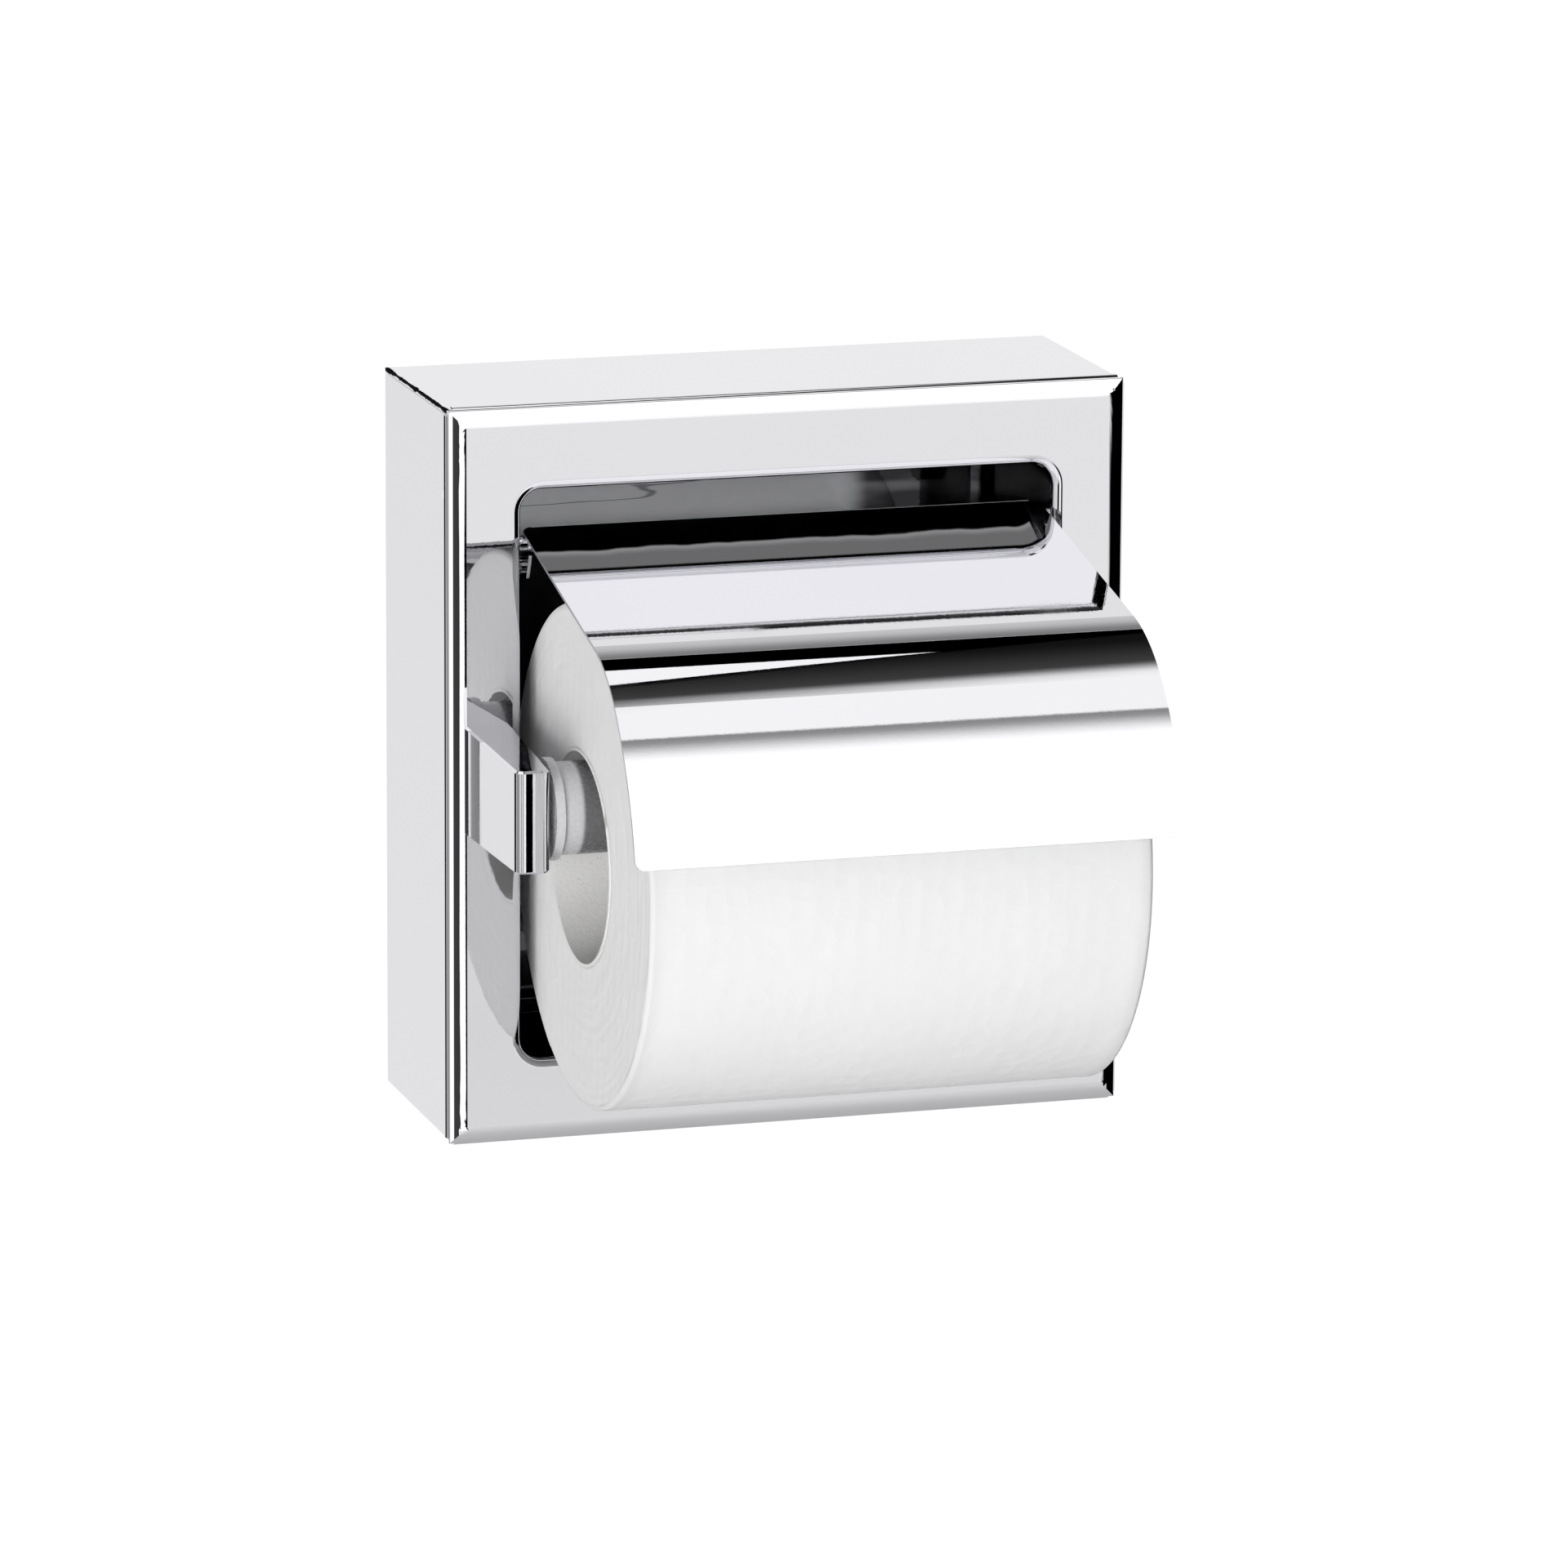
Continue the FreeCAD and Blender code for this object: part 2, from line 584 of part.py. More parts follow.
def make_wall_bracket():
    """Bent plate on the wall: hook for the collar on top, flange for the lock screw below."""
    body = new_body("wall_bracket")
    hook_back = s.collar_sheet + s.hook_gap
    hook_top = collar_half_height - s.collar_sheet - s.hang_gap
    sheet = s.bracket_sheet
    profile = sketch_on(body, "YZ_Plane", "bent_profile", -bracket_width / 2)
    step_top = hook_start + s.hook_step
    tongue_top = sheet - bracket_drop
    corners = [
        (0.0, -bracket_drop), (-s.bracket_reach, -bracket_drop), (-s.bracket_reach, tongue_top),
        (-sheet, tongue_top), (-sheet, hook_start), (-hook_back - sheet, step_top),
        (-hook_back - sheet, hook_top), (-hook_back, hook_top), (-hook_back, step_top), (0.0, hook_start),
    ]
    outline(profile, corners)
    pad(body, profile, bracket_width, "bent_plate")
    round_edges(body, s.bracket_bend, on_line(-sheet, tongue_top), "inner_bend")
    round_edges(body, s.bracket_bend + sheet, on_line(0.0, -bracket_drop), "outer_bend")

    # The hook and the lower flange are narrower than the plate
    outer_edge = bracket_width / 2 + OVER_CUT
    shoulders = sketch_on(body, "XZ_Plane", "hook_shoulders", -sheet)
    cut_top = hook_top + OVER_CUT
    for _, across in SIDES:
        inner, outer = across * s.hook_width / 2, across * outer_edge
        corners = [(inner, hook_start), (outer, hook_start), (outer, cut_top), (inner, cut_top)]
        outline(shoulders, corners)
    pocket(body, shoulders, "hook_sides", along_normal=True)
    tongue = sketch_on(body, "XY_Plane", "tongue_sides", tongue_top)
    cut_rear, cut_front = -sheet - s.bracket_bend, -s.bracket_reach - OVER_CUT
    for _, across in SIDES:
        inner, outer = across * s.tongue_width / 2, across * outer_edge
        outline(tongue, [(inner, cut_rear), (outer, cut_rear), (outer, cut_front), (inner, cut_front)])
    pocket(body, tongue, "tongue_cut")
    holes = sketch_on(body, "XZ_Plane", "wall_holes")
    hole_across, hole_up = s.wall_hole_across / 2, s.wall_hole_up / 2
    for _, across in SIDES:
        for _, up in LEVELS:
            circle(holes, across * hole_across, up * hole_up, s.wall_hole_width / 2)
    pocket(body, holes, "wall_hole_pattern", length=sheet + OVER_CUT, along_normal=True)
    lock = sketch_on(body, "XY_Plane", "lock_hole", tongue_top)
    circle(lock, 0.0, -s.lock_stand_out, screw_hole)
    pocket(body, lock, "lock_screw_hole")
    place(body)


def on_line(back, up):
    """Test for the edges that run across the part at one depth and height."""
    return lambda point: near(point.y, back) and near(point.z, up)


def socket_screw(label, length):
    """Screw along +Z with a low head, whose underside is at the origin, and a hex socket."""
    body = new_body(label)
    head_radius = s.screw_head_width / 2
    profile = sketch_on(body, "XZ_Plane", "half_section")
    outline(profile, [
        (0.0, -s.screw_head_height), (head_radius, -s.screw_head_height), (head_radius, 0.0),
        (screw_radius, 0.0), (screw_radius, length), (0.0, length),
    ])
    revolve(body, profile, "V_Axis", "turned_screw")
    socket = sketch_on(body, "XY_Plane", "hex_outline", -s.screw_head_height)
    corner = s.hex_width / (2 * math.cos(math.radians(30)))
    angles = [math.radians(60 * number) for number in range(6)]
    outline(socket, [(corner * math.cos(angle), corner * math.sin(angle)) for angle in angles])
    pocket(body, socket, "hex_socket", length=s.hex_depth, along_normal=True)
    return body


def make_lock_screw():
    """Screw and weld nut that lock the collar to the bracket from below."""
    screw = socket_screw("set_screw", s.lock_screw_length)
    place(screw, 0.0, -s.lock_stand_out, -collar_half_height)
    nut = new_body("bracket_nut")
    section = sketch_on(nut, "XY_Plane", "nut_section")
    centred_rectangle(section, s.nut_width / 2, s.nut_width / 2)
    circle(section, 0.0, 0.0, screw_hole)
    pad(nut, section, s.nut_height, "nut_pad")
    place(nut, 0.0, -s.lock_stand_out, s.bracket_sheet - bracket_drop)


def make_post(side, across):
    """Tapered post, flat outside, with screw holes in its base and a socket for the spindle."""
    body = new_body(f"{side}_post")
    half_base = s.post_base_height / 2
    fall = s.post_tip_drop / post_length
    base_inner = -across * s.post_base_width
    tip_inner = base_inner + across * s.post_thinning
    plan = sketch_on(body, "XY_Plane", "post_plan", -half_base)
    outline(plan, [(0.0, 0.0), (base_inner, 0.0), (tip_inner, -post_length), (0.0, -post_length)])
    pad(body, plan, s.post_base_height, "post_block")
    beside = -across * (s.post_base_width + OVER_CUT)
    slopes = sketch_on(body, "YZ_Plane", "post_slopes", beside)
    cut_end = -post_length - OVER_CUT
    cut_high, cut_low = half_base + OVER_CUT, half_base + fall * cut_end
    for _, up in LEVELS:
        corners = [(0.0, half_base), (cut_end, cut_low), (cut_end, cut_high), (0.0, cut_high)]
        outline(slopes, [(along, up * height) for along, height in corners])
    pocket(body, slopes, "sloped_faces", along_normal=across > 0)

    # First the two upright edges of the tip, then the long edges, which run round them
    def on_top_or_bottom(point):
        return near(abs(point.z), half_base + fall * point.y)

    def upright(middle):
        return near(middle.z, 0.0)

    def ahead_of_base(middle):
        return middle.y < -TOLERANCE
    round_edges(body, s.post_tip_round, at_depth(post_length), "tip_corners", keep=upright)
    ease_edges(body, s.post_edge_chamfer, on_top_or_bottom, "long_edges", keep=ahead_of_base)

    holes = sketch_on(body, "XZ_Plane", "screw_holes")
    for _, up in LEVELS:
        circle(holes, -across * s.post_base_width / 2, up * post_screw_spacing / 2, screw_hole)
    pocket(body, holes, "tapped_holes", length=s.post_hole_depth, along_normal=True)
    inner_face = -across * (post_outer_face - post_face_at_spindle)
    socket = sketch_on(body, "YZ_Plane", "spindle_socket", inner_face + across * s.socket_depth)
    circle(socket, -spindle_reach, 0.0, s.nib_radius + s.nib_fit)
    pocket(body, socket, "socket", along_normal=across < 0)
    place(body, across * post_outer_face, -flange_front, 0.0)


def make_post_fasteners(side, across):
    """Backing plate behind the flange, with a screw in each of its two holes."""
    plate = new_body(f"{side}_backing_plate")
    section = sketch_on(plate, "XZ_Plane", "plate_section")
    centred_rectangle(section, s.post_base_width / 2, backing_height / 2)
    for _, up in LEVELS:
        circle(section, 0.0, up * post_screw_spacing / 2, screw_hole)
    pad(plate, section, s.backing_sheet, "plate_pad")
    plate_rear = flange_rear - s.backing_sheet
    place(plate, across * post_screw_across, -plate_rear, 0.0)
    for level, up in LEVELS:
        screw = socket_screw(f"post_screw_{side}_{level}", s.post_screw_length)
        height = up * post_screw_spacing / 2
        place(screw, across * post_screw_across, -plate_rear, height, FORWARD)


def make_hood():
    """Bent sheet with its hinge axis at the origin, and two ears under its rear corners."""
    body = new_body("hood")
    slope, bend, front = s.hood_slope_angle, s.hood_bend_angle, s.hood_front_angle
    rear = (s.hood_overhang, s.hood_rise)
    flat_end = (rear[0] - hood_flat * cosine(slope), rear[1] - hood_flat * sine(slope))
    bend_end = after_bend(flat_end, hood_bend_radius, slope, bend)
    lower = after_bend(bend_end, hood_front_radius, bend, front)
    inside = [under(lower, front), under(bend_end, bend), under(flat_end, slope), under(rear, slope)]
    profile = sketch_on(body, "YZ_Plane", "hood_profile", -hood_front_half)
    arcs = {
        1: (hood_bend_radius, 1), 2: (hood_front_radius, 1),
        4: (hood_front_radius - s.hood_sheet, -1), 5: (hood_bend_radius - s.hood_sheet, -1),
    }
    outline(profile, [rear, flat_end, bend_end, lower] + inside, arcs)
    pad(body, profile, 2 * hood_front_half, "hood_sheet")

    # The sides flare a little towards the lower edge
    sides = sketch_on(body, "XY_Plane", "side_flare", s.hood_rise + OVER_CUT)
    beyond = hood_front_half + OVER_CUT
    behind, ahead = rear[0] + s.hood_sheet, lower[0] - s.hood_sheet
    for _, across in SIDES:
        outline(sides, [(across * hood_rear_half, behind), (across * beyond, behind),
                        (across * beyond, ahead), (across * hood_front_half, ahead)])
    pocket(body, sides, "side_cut")
    round_edges(body, s.hood_rear_corner, across_sheet(rear, inside[3], hood_rear_half), "rear_corners")
    round_edges(body, s.hood_front_corner, across_sheet(lower, inside[0], hood_front_half), "lower_corners")

    # Ears: a lug on the pin with a heel that rests on the stop
    heel_front = s.ear_heel_back - s.ear_heel_width
    lug_low = -s.ear_lug_drop
    ear_corners = [
        middle_of_sheet(rear, -s.ear_front), (heel_front + lug_low, lug_low), (heel_front, -s.ear_heel_drop),
        (s.ear_heel_back, -s.ear_heel_drop), (s.ear_heel_back, lug_low),
        middle_of_sheet(rear, s.hood_overhang / 2),
    ]
    for side, across in SIDES:
        inner_face = across * ear_inner
        ear = sketch_on(body, "YZ_Plane", f"ear_{side}", inner_face)
        outline(ear, ear_corners)
        pad(body, ear, s.hood_sheet, f"ear_plate_{side}", reverse=across < 0)
        pin_hole = sketch_on(body, "YZ_Plane", f"ear_hole_{side}", inner_face)
        circle(pin_hole, 0.0, 0.0, hinge_hole)
        depth = s.hood_sheet + OVER_CUT
        pocket(body, pin_hole, f"pin_hole_{side}", length=depth, along_normal=across > 0)
    round_edges(body, s.ear_corner, on_line(s.ear_heel_back, -s.ear_heel_drop), "heel_rear_corners")
    round_edges(body, s.ear_corner, on_line(heel_front, -s.ear_heel_drop), "heel_front_corners")
    place(body, 0.0, -hinge_stand_out, hinge_height)


def after_bend(start, radius, first, last):
    """Point at the end of a bend that turns the sheet's fall from one angle to another."""
    along = start[0] - radius * (sine(last) - sine(first))
    up = start[1] - radius * (cosine(first) - cosine(last))
    return along, up


def under(point, angle):
    """The point one sheet thickness under another, square to the sheet's fall."""
    return point[0] + s.hood_sheet * sine(angle), point[1] - s.hood_sheet * cosine(angle)


def middle_of_sheet(rear, along):
    """Point halfway through the flat sheet at one distance from the hinge axis along Y."""
    fall = (rear[0] - along) * tangent(s.hood_slope_angle)
    return along, rear[1] - fall - s.hood_sheet / (2 * cosine(s.hood_slope_angle))


def across_sheet(first, second, half_width):
    """Test for the two edges that cross the sheet's thickness at one end of the hood."""
    low = min(first[0].value, second[0].value) - TOLERANCE
    high = max(first[0].value, second[0].value) + TOLERANCE
    top = max(first[1].value, second[1].value) + TOLERANCE
    bottom = min(first[1].value, second[1].value) - TOLERANCE

    def test(point):
        at_side = abs(abs(point.x) - half_width.value) < s.hood_sheet.value / 2
        return at_side and low < point.y < high and bottom < point.z < top
    return test


def make_hinge(side, across):
    """Riveted pin, spacer and stop stud of one side, all along X."""
    wall_outside = pan_half_width + s.housing_sheet
    head_radius = s.hinge_head_width / 2
    outer_end = wall_outside + s.hinge_head_height
    pin_inner = ear_inner - s.hinge_side_gap
    inner_end = pin_inner - s.hinge_head_height
    hinge_pin = new_body(f"hinge_pin_{side}")
    profile = sketch_on(hinge_pin, "XY_Plane", "half_section")
    stations = [
        (outer_end, 0.0), (outer_end, head_radius), (wall_outside, head_radius),
        (wall_outside, hinge_pin_radius), (pin_inner, hinge_pin_radius), (pin_inner, head_radius),
        (inner_end, head_radius), (inner_end, 0.0),
    ]
    outline(profile, [(across * along, radius) for along, radius in stations])
    revolve(hinge_pin, profile, "H_Axis", "turned_pin")
    place(hinge_pin, 0.0, -hinge_stand_out, hinge_height)

    spacer = new_body(f"hinge_spacer_{side}")
    section = sketch_on(spacer, "YZ_Plane", "spacer_section")
    circle(section, 0.0, 0.0, s.hinge_spacer_width / 2)
    circle(section, 0.0, 0.0, hinge_hole)
    pad(spacer, section, s.hinge_spacer_length, "spacer_pad", reverse=across > 0)
    place(spacer, across * pan_half_width, -hinge_stand_out, hinge_height)

    stop = new_body(f"hood_stop_{side}")
    stud = sketch_on(stop, "YZ_Plane", "stud_section")
    circle(stud, 0.0, 0.0, s.stop_width / 2)
    pad(stop, stud, s.stop_length, "stud_pad", reverse=across > 0)
    stud_height = hinge_height - s.stop_drop
    place(stop, across * pan_half_width, stop_back - hinge_stand_out, stud_height)


def make_spindle():
    """Sleeve and plunger of the spindle, both turned about X, with lugs that run in slots."""
    sleeve = new_body("spindle_sleeve")
    bore = s.plunger_radius + s.sleeve_fit
    end_inside = spindle_half - s.spindle_end_wall
    section = sketch_on(sleeve, "XY_Plane", "half_section")
    outline(section, [
        (-s.sleeve_inner_end, bore), (-s.sleeve_inner_end, s.sleeve_radius),
        (spindle_half - s.sleeve_chamfer, s.sleeve_radius),
        (spindle_half, s.sleeve_radius - s.sleeve_chamfer),
        (spindle_half, s.nib_radius), (nib_end, s.nib_radius), (nib_end, 0.0),
        (end_inside, 0.0), (end_inside, bore),
    ])
    revolve(sleeve, section, "H_Axis", "turned_sleeve")
    lug_end = s.plunger_inner_end - s.lug_inset
    lug_start = lug_end - s.lug_length
    half_slot = s.lug_width / 2 + s.lug_fit
    slot = sketch_on(sleeve, "XZ_Plane", "slot_outline", -s.sleeve_radius - OVER_CUT)
    slot_end = lug_end + s.plunger_travel + s.lug_fit
    rectangle(slot, lug_start - s.slot_slack, slot_end, -half_slot, half_slot)
    pocket(sleeve, slot, "slots", along_normal=True)
    place(sleeve, 0.0, -spindle_stand_out, 0.0)

    plunger = new_body("spindle_plunger")
    hollow = s.plunger_radius - s.plunger_wall
    profile = sketch_on(plunger, "XY_Plane", "half_section")
    outline(profile, [
        (-nib_end, 0.0), (-nib_end, s.nib_radius), (-spindle_half, s.nib_radius),
        (-spindle_half, s.plunger_flange_radius),
        (-end_inside, s.plunger_flange_radius), (-end_inside, s.plunger_radius),
        (s.plunger_inner_end, s.plunger_radius), (s.plunger_inner_end, hollow), (-end_inside, hollow),
        (-end_inside, 0.0),
    ])
    revolve(plunger, profile, "H_Axis", "turned_plunger")
    for side, direction in SIDES:
        root = s.plunger_radius - s.plunger_wall / 2
        lug = sketch_on(plunger, "XZ_Plane", f"lug_outline_{side}", direction * root)
        rectangle(lug, lug_start, lug_end, -s.lug_width / 2, s.lug_width / 2)
        pad(plunger, lug, s.lug_height + s.plunger_wall / 2, f"lug_{side}", reverse=direction < 0)
    place(plunger, 0.0, -spindle_stand_out, 0.0)

    spring = new_body("spindle_spring")
    spring_half = end_inside - s.spring_end_gap - s.spring_wire / 2
    wire = sketch_on(spring, "XY_Plane", "wire_section")
    wire_left, wire_right = -spring_half - s.spring_wire / 2, s.spring_wire / 2 - spring_half
    wire_low = s.spring_mean_radius - s.spring_wire / 2
    rectangle(wire, wire_left, wire_right, wire_low, wire_low + s.spring_wire)
    coil = spring.newObject("PartDesign::AdditiveHelix", "coil")
    coil.Profile = wire
    coil.ReferenceAxis = (wire, ["H_Axis"])
    coil.Mode = "height-turns-angle"
    bind(coil, "Height", 2 * spring_half)
    bind(coil, "Turns", s.spring_turns)
    doc.recompute()
    place(spring, 0.0, -spindle_stand_out, 0.0)


def make_roll():
    """Full roll of paper on its cardboard tube, hanging on the sleeve."""
    parts = (
        ("roll_core", core_outer_radius, s.core_inner_radius),
        ("paper_roll", s.paper_radius, core_outer_radius + s.paper_fit),
    )
    for label, outer_radius, inner_radius in parts:
        body = new_body(label)
        section = sketch_on(body, "YZ_Plane", "ring_section")
        circle(section, 0.0, 0.0, outer_radius)
        circle(section, 0.0, 0.0, inner_radius)
        pad(body, section, s.roll_width, "ring_pad")
        place(body, -s.roll_width / 2, -spindle_stand_out, roll_centre)


def check_and_write():
    """Stop at any failed object, then write each sub-part."""
    doc.recompute()
    for item in doc.Objects:
        if "Invalid" in item.State or "Error" in item.State:
            raise ValueError(f"{item.Name} failed: {item.State}")
    bodies = [item for item in doc.Objects if item.TypeId == "PartDesign::Body"]
    for body in bodies:
        if body.Shape.isNull() or not body.Shape.isValid():
            raise ValueError(f"{body.Label} has no valid shape")
    os.makedirs("parts", exist_ok=True)
    for body in bodies:
        body.Shape.exportStep(f"parts/{body.Label}.step")


make_surface_collar()
make_recess_housing()
make_wall_bracket()
make_lock_screw()
for side, across in SIDES:
    make_post(side, across)
    make_post_fasteners(side, across)
    make_hinge(side, across)
make_hood()
make_spindle()
make_roll()
check_and_write()
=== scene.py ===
import math

import bmesh
import bpy
from mathutils import Euler, Matrix, Vector, noise


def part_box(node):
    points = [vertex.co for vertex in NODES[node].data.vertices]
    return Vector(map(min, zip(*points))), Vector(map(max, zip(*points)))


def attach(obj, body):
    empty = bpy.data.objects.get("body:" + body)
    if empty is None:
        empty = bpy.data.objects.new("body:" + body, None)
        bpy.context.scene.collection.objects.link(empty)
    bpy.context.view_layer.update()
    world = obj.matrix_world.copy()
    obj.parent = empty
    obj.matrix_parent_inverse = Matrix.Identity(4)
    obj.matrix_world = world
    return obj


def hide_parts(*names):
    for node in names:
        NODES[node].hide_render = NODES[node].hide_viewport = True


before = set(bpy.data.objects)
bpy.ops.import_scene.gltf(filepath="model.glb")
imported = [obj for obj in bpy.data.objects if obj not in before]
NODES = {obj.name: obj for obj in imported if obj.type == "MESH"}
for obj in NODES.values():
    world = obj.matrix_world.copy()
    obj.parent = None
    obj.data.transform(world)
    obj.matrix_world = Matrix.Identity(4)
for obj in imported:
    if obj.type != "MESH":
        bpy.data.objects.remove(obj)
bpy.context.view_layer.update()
MM = 0.001

# Where the photographer stood
CAMERA_PLACE = Vector((-0.61136, -2.07216, 0.47858))
CAMERA_YAW = math.radians(16.84)
CAMERA_PITCH = math.radians(12.93)
CAMERA_ROLL = math.radians(0.33)
CAMERA_LENS = 223.51
CAMERA_SENSOR = 36.0
CAMERA_NEAREST, CAMERA_FARTHEST = 0.05, 50.0

# The bathroom studio: its surround light, its floor and how bright the floor looks in mirrors and to the eye,
# its glow in mirrors dimmed near the object by painted shade
SURROUND_LIGHT = 0.25
FLOOR_LEVEL = -0.70
FLOOR_REACH = 9.0
FLOOR_AHEAD, FLOOR_AHEAD_GLOW = (0.3, 3.5), (0.06, 0.82)
FLOOR_BEHIND, FLOOR_BEHIND_GLOW = (0.0, 1.5), 0.70
FLOOR_SEEN_GLOW = 0.80

# Where the studio's cards stand and hang, and the object's front edges that the standing ones turn about
CARD_DISTANCE = 1.6
CARD_FOOT, CARD_HEAD = -0.66, -0.08
STRIP_LEFT, STRIP_RIGHT = -1.2, 2.2
STRIP_PIVOT = (-0.11, 0.04)
WEDGE_LEFT, WEDGE_RIGHT, WEDGE_HEIGHT = -0.14, 0.40, 0.40
LEFT_EDGE, RIGHT_EDGE = (-0.0745, -0.0555), (0.0745, -0.0555)

# The roll of paper and its tube, from the frame
roll_low, roll_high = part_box("paper_roll")
tube_low, tube_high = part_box("roll_core")
ROLL_CENTRE = (roll_low + roll_high) / 2
ROLL_RADIUS = (roll_high.z - roll_low.z) / 2
ROLL_HALF_WIDTH = (roll_high.x - roll_low.x) / 2
TUBE_RADIUS = (tube_high.z - tube_low.z) / 2
SPIRAL_PITCH = 0.062

# The paper's own shape: rounded shoulders, kept a little inside the solid roll
SHOULDER = 1.2 * MM
UNDER_SURFACE, UNDER_END, OVER_TUBE = 0.2 * MM, 0.25 * MM, 0.05 * MM
STEPS_AROUND, STEPS_ACROSS, END_RINGS, SHOULDER_STEPS = 256, 56, 44, 8
LAST_SHEET = 0.00022
LAST_EDGE = math.radians(-62)

# The paper's unevenness: its height, then how fast it changes along or outwards, and round the roll
SWELL, SWELL_ALONG, SWELL_ROUND = 0.16 * MM, 30, 1.6
LAYER_DIP, LAYER_DIP_OUT, LAYER_DIP_ROUND = 0.20 * MM, 900, 0.35
DENT, DENT_OUT, DENT_ROUND = 0.10 * MM, 250, 5.0

# The collar's corner and the hood's lowest edge, from the frame
collar_low, collar_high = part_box("surface_collar")
hood_low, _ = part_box("hood")

# Where painted shade darkens the recess: behind the flange, at its right end, behind the roll and on its side
# walls
LIP_REAR = -0.0522
RECESS_BEGINS = (LIP_REAR, LIP_REAR + 0.006)
SHADED_END = (0.026, 0.034)
SHADE_BEHIND_ROLL = (0.040, 0.049)
SIDE_FACING = (0.5, 0.9)

# Where the front of the recess's ceiling carries its painted glow
CEILING, CEILING_UNDER, CEILING_OVER = 0.0642, 0.0014, 0.0005
GLOW_REAR = -0.0455
GLOW_FADE = (GLOW_REAR - 0.0009, GLOW_REAR)
GLOW_SLOPE = (GLOW_REAR - 0.0030, GLOW_REAR)
GLOW_BEHIND_RIM = (LIP_REAR - 0.0010, LIP_REAR - 0.0004)

# Where the hood's cut edges begin: its rear edge between the ears, its sides past the ears, and its low edge
HOOD_REAR, HOOD_REAR_HALF = -0.0490, 0.0575
PAST_EARS = 0.0593
REAR_CUT_DEPTH, LOW_CUT_HEIGHT = 0.0003, 0.0002
CUT_FACING = 0.9

# The joint in the collar, the rounding of the posts' tips, and where the painted shadow on the spindle begins
# towards its middle
JOINT_WIDTH = (0.0002, 0.0009)
TIP_MIDDLE, TIP_ROUNDING = 0.07045, 55000.0
TIP_FACING = (-0.985, -0.90)
SPINDLE_SHADOW = (0.0578, 0.0578 + 0.0012)

# Colours: red, green, blue and full cover
WHITE = (1.0, 1.0, 1.0, 1.0)
BLACK = (0.0, 0.0, 0.0, 1.0)
STEEL = (0.735, 0.735, 0.757, 1.0)
# Painted shade inside the recess: its dim level and its deepest
RECESS_SHADE, RECESS_DEEP_SHADE = (0.34, 0.34, 0.355, 1.0), (0.015, 0.015, 0.017, 1.0)
CUT_STEEL = (0.46, 0.46, 0.47, 1.0)
JOINT_BLACK = (0.012, 0.012, 0.014, 1.0)
ZINC_DEEP, ZINC_PALE = (0.59, 0.605, 0.62, 1.0), (0.67, 0.68, 0.685, 1.0)
MOULDING_FLOW, MOULDING_PALE = (0.60, 0.60, 0.62, 1.0), (0.64, 0.64, 0.66, 1.0)
# Painted shadow on the spindle inside the roll's tube
MOULDING_SHADOW = (0.15, 0.15, 0.155, 1.0)
CARD_GREY, CARD_PALE = (0.82, 0.815, 0.805, 1.0), (0.89, 0.885, 0.875, 1.0)
CARD_FLECK, CARD_SEAM = (0.50, 0.48, 0.45, 1.0), (0.36, 0.34, 0.31, 1.0)
TISSUE_CLOUD, TISSUE_WHITE = (0.85, 0.85, 0.855, 1.0), (0.895, 0.895, 0.895, 1.0)
# The tissue's fibre, and the painted shade on its outer edges
TISSUE_FIBRE, TISSUE_EDGE_SHADE = (0.78, 0.78, 0.785, 1.0), (0.74, 0.74, 0.745, 1.0)
FLOOR_COLOUR = (0.9, 0.9, 0.9, 1.0)

# The sockets of a Mix node, for colours and for numbers: its share, its two values and its result
MIX_SOCKETS = {"RGBA": (0, 6, 7, 2), "FLOAT": (0, 2, 3, 0)}


# Small helpers for node trees
def add(tree, kind, values=None, **settings):
    """A node of this kind in the tree, with its settings and the values of its inputs."""
    node = tree.nodes.new(kind)
    for name, value in settings.items():
        setattr(node, name, value)
    for name, value in (values or {}).items():
        fill(tree, node.inputs[name], value)
    return node


def fill(tree, socket, value):
    """Gives an input a plain value, or links it to an output."""
    if isinstance(value, bpy.types.NodeSocket):
        tree.links.new(value, socket)
    else:
        socket.default_value = value


def math_node(tree, operation, first, second=0.0, clamp=False):
    """The result of one sum on numbers."""
    node = add(tree, "ShaderNodeMath", {0: first, 1: second}, operation=operation)
    node.use_clamp = clamp
    return node.outputs[0]


def chain(tree, operation, first, *others):
    """The result of one kind of sum taken over several numbers in turn."""
    for other in others:
        first = math_node(tree, operation, first, other)
    return first


def map_range(tree, value, span, result=(0.0, 1.0), smooth=True):
    """A number within a span moved to another one, and kept within it."""
    kind = "SMOOTHSTEP" if smooth else "LINEAR"
    node = add(tree, "ShaderNodeMapRange", {"Value": value}, interpolation_type=kind)
    for name, number in zip(("From Min", "From Max", "To Min", "To Max"), (*span, *result)):
        fill(tree, node.inputs[name], number)
    return node.outputs["Result"]


def mix_values(tree, kind, share, first, second):
    """Two colours or two numbers mixed by a share."""
    node = add(tree, "ShaderNodeMix", data_type=kind)
    *inputs, result = MIX_SOCKETS[kind]
    for socket, value in zip(inputs, (share, first, second)):
        fill(tree, node.inputs[socket], value)
    return node.outputs[result]


def mix_colour(tree, share, first, second):
    """Two colours mixed by a share."""
    return mix_values(tree, "RGBA", share, first, second)


def mix_number(tree, share, first, second):
    """Two numbers mixed by a share."""
    return mix_values(tree, "FLOAT", share, first, second)


def mix_shader(tree, share, first, second):
    """Two shaders mixed by a share."""
    return add(tree, "ShaderNodeMixShader", {0: share, 1: first, 2: second}).outputs[0]


def mix_over(tree, socket, mix, share, value):
    """Mixes a value, by a share, over what an input is already linked to."""
    fill(tree, socket, mix(tree, share, socket.links[0].from_socket, value))


def parts_of(tree, vector):
    """The X, Y and Z of a place or a direction."""
    return add(tree, "ShaderNodeSeparateXYZ", {"Vector": vector}).outputs


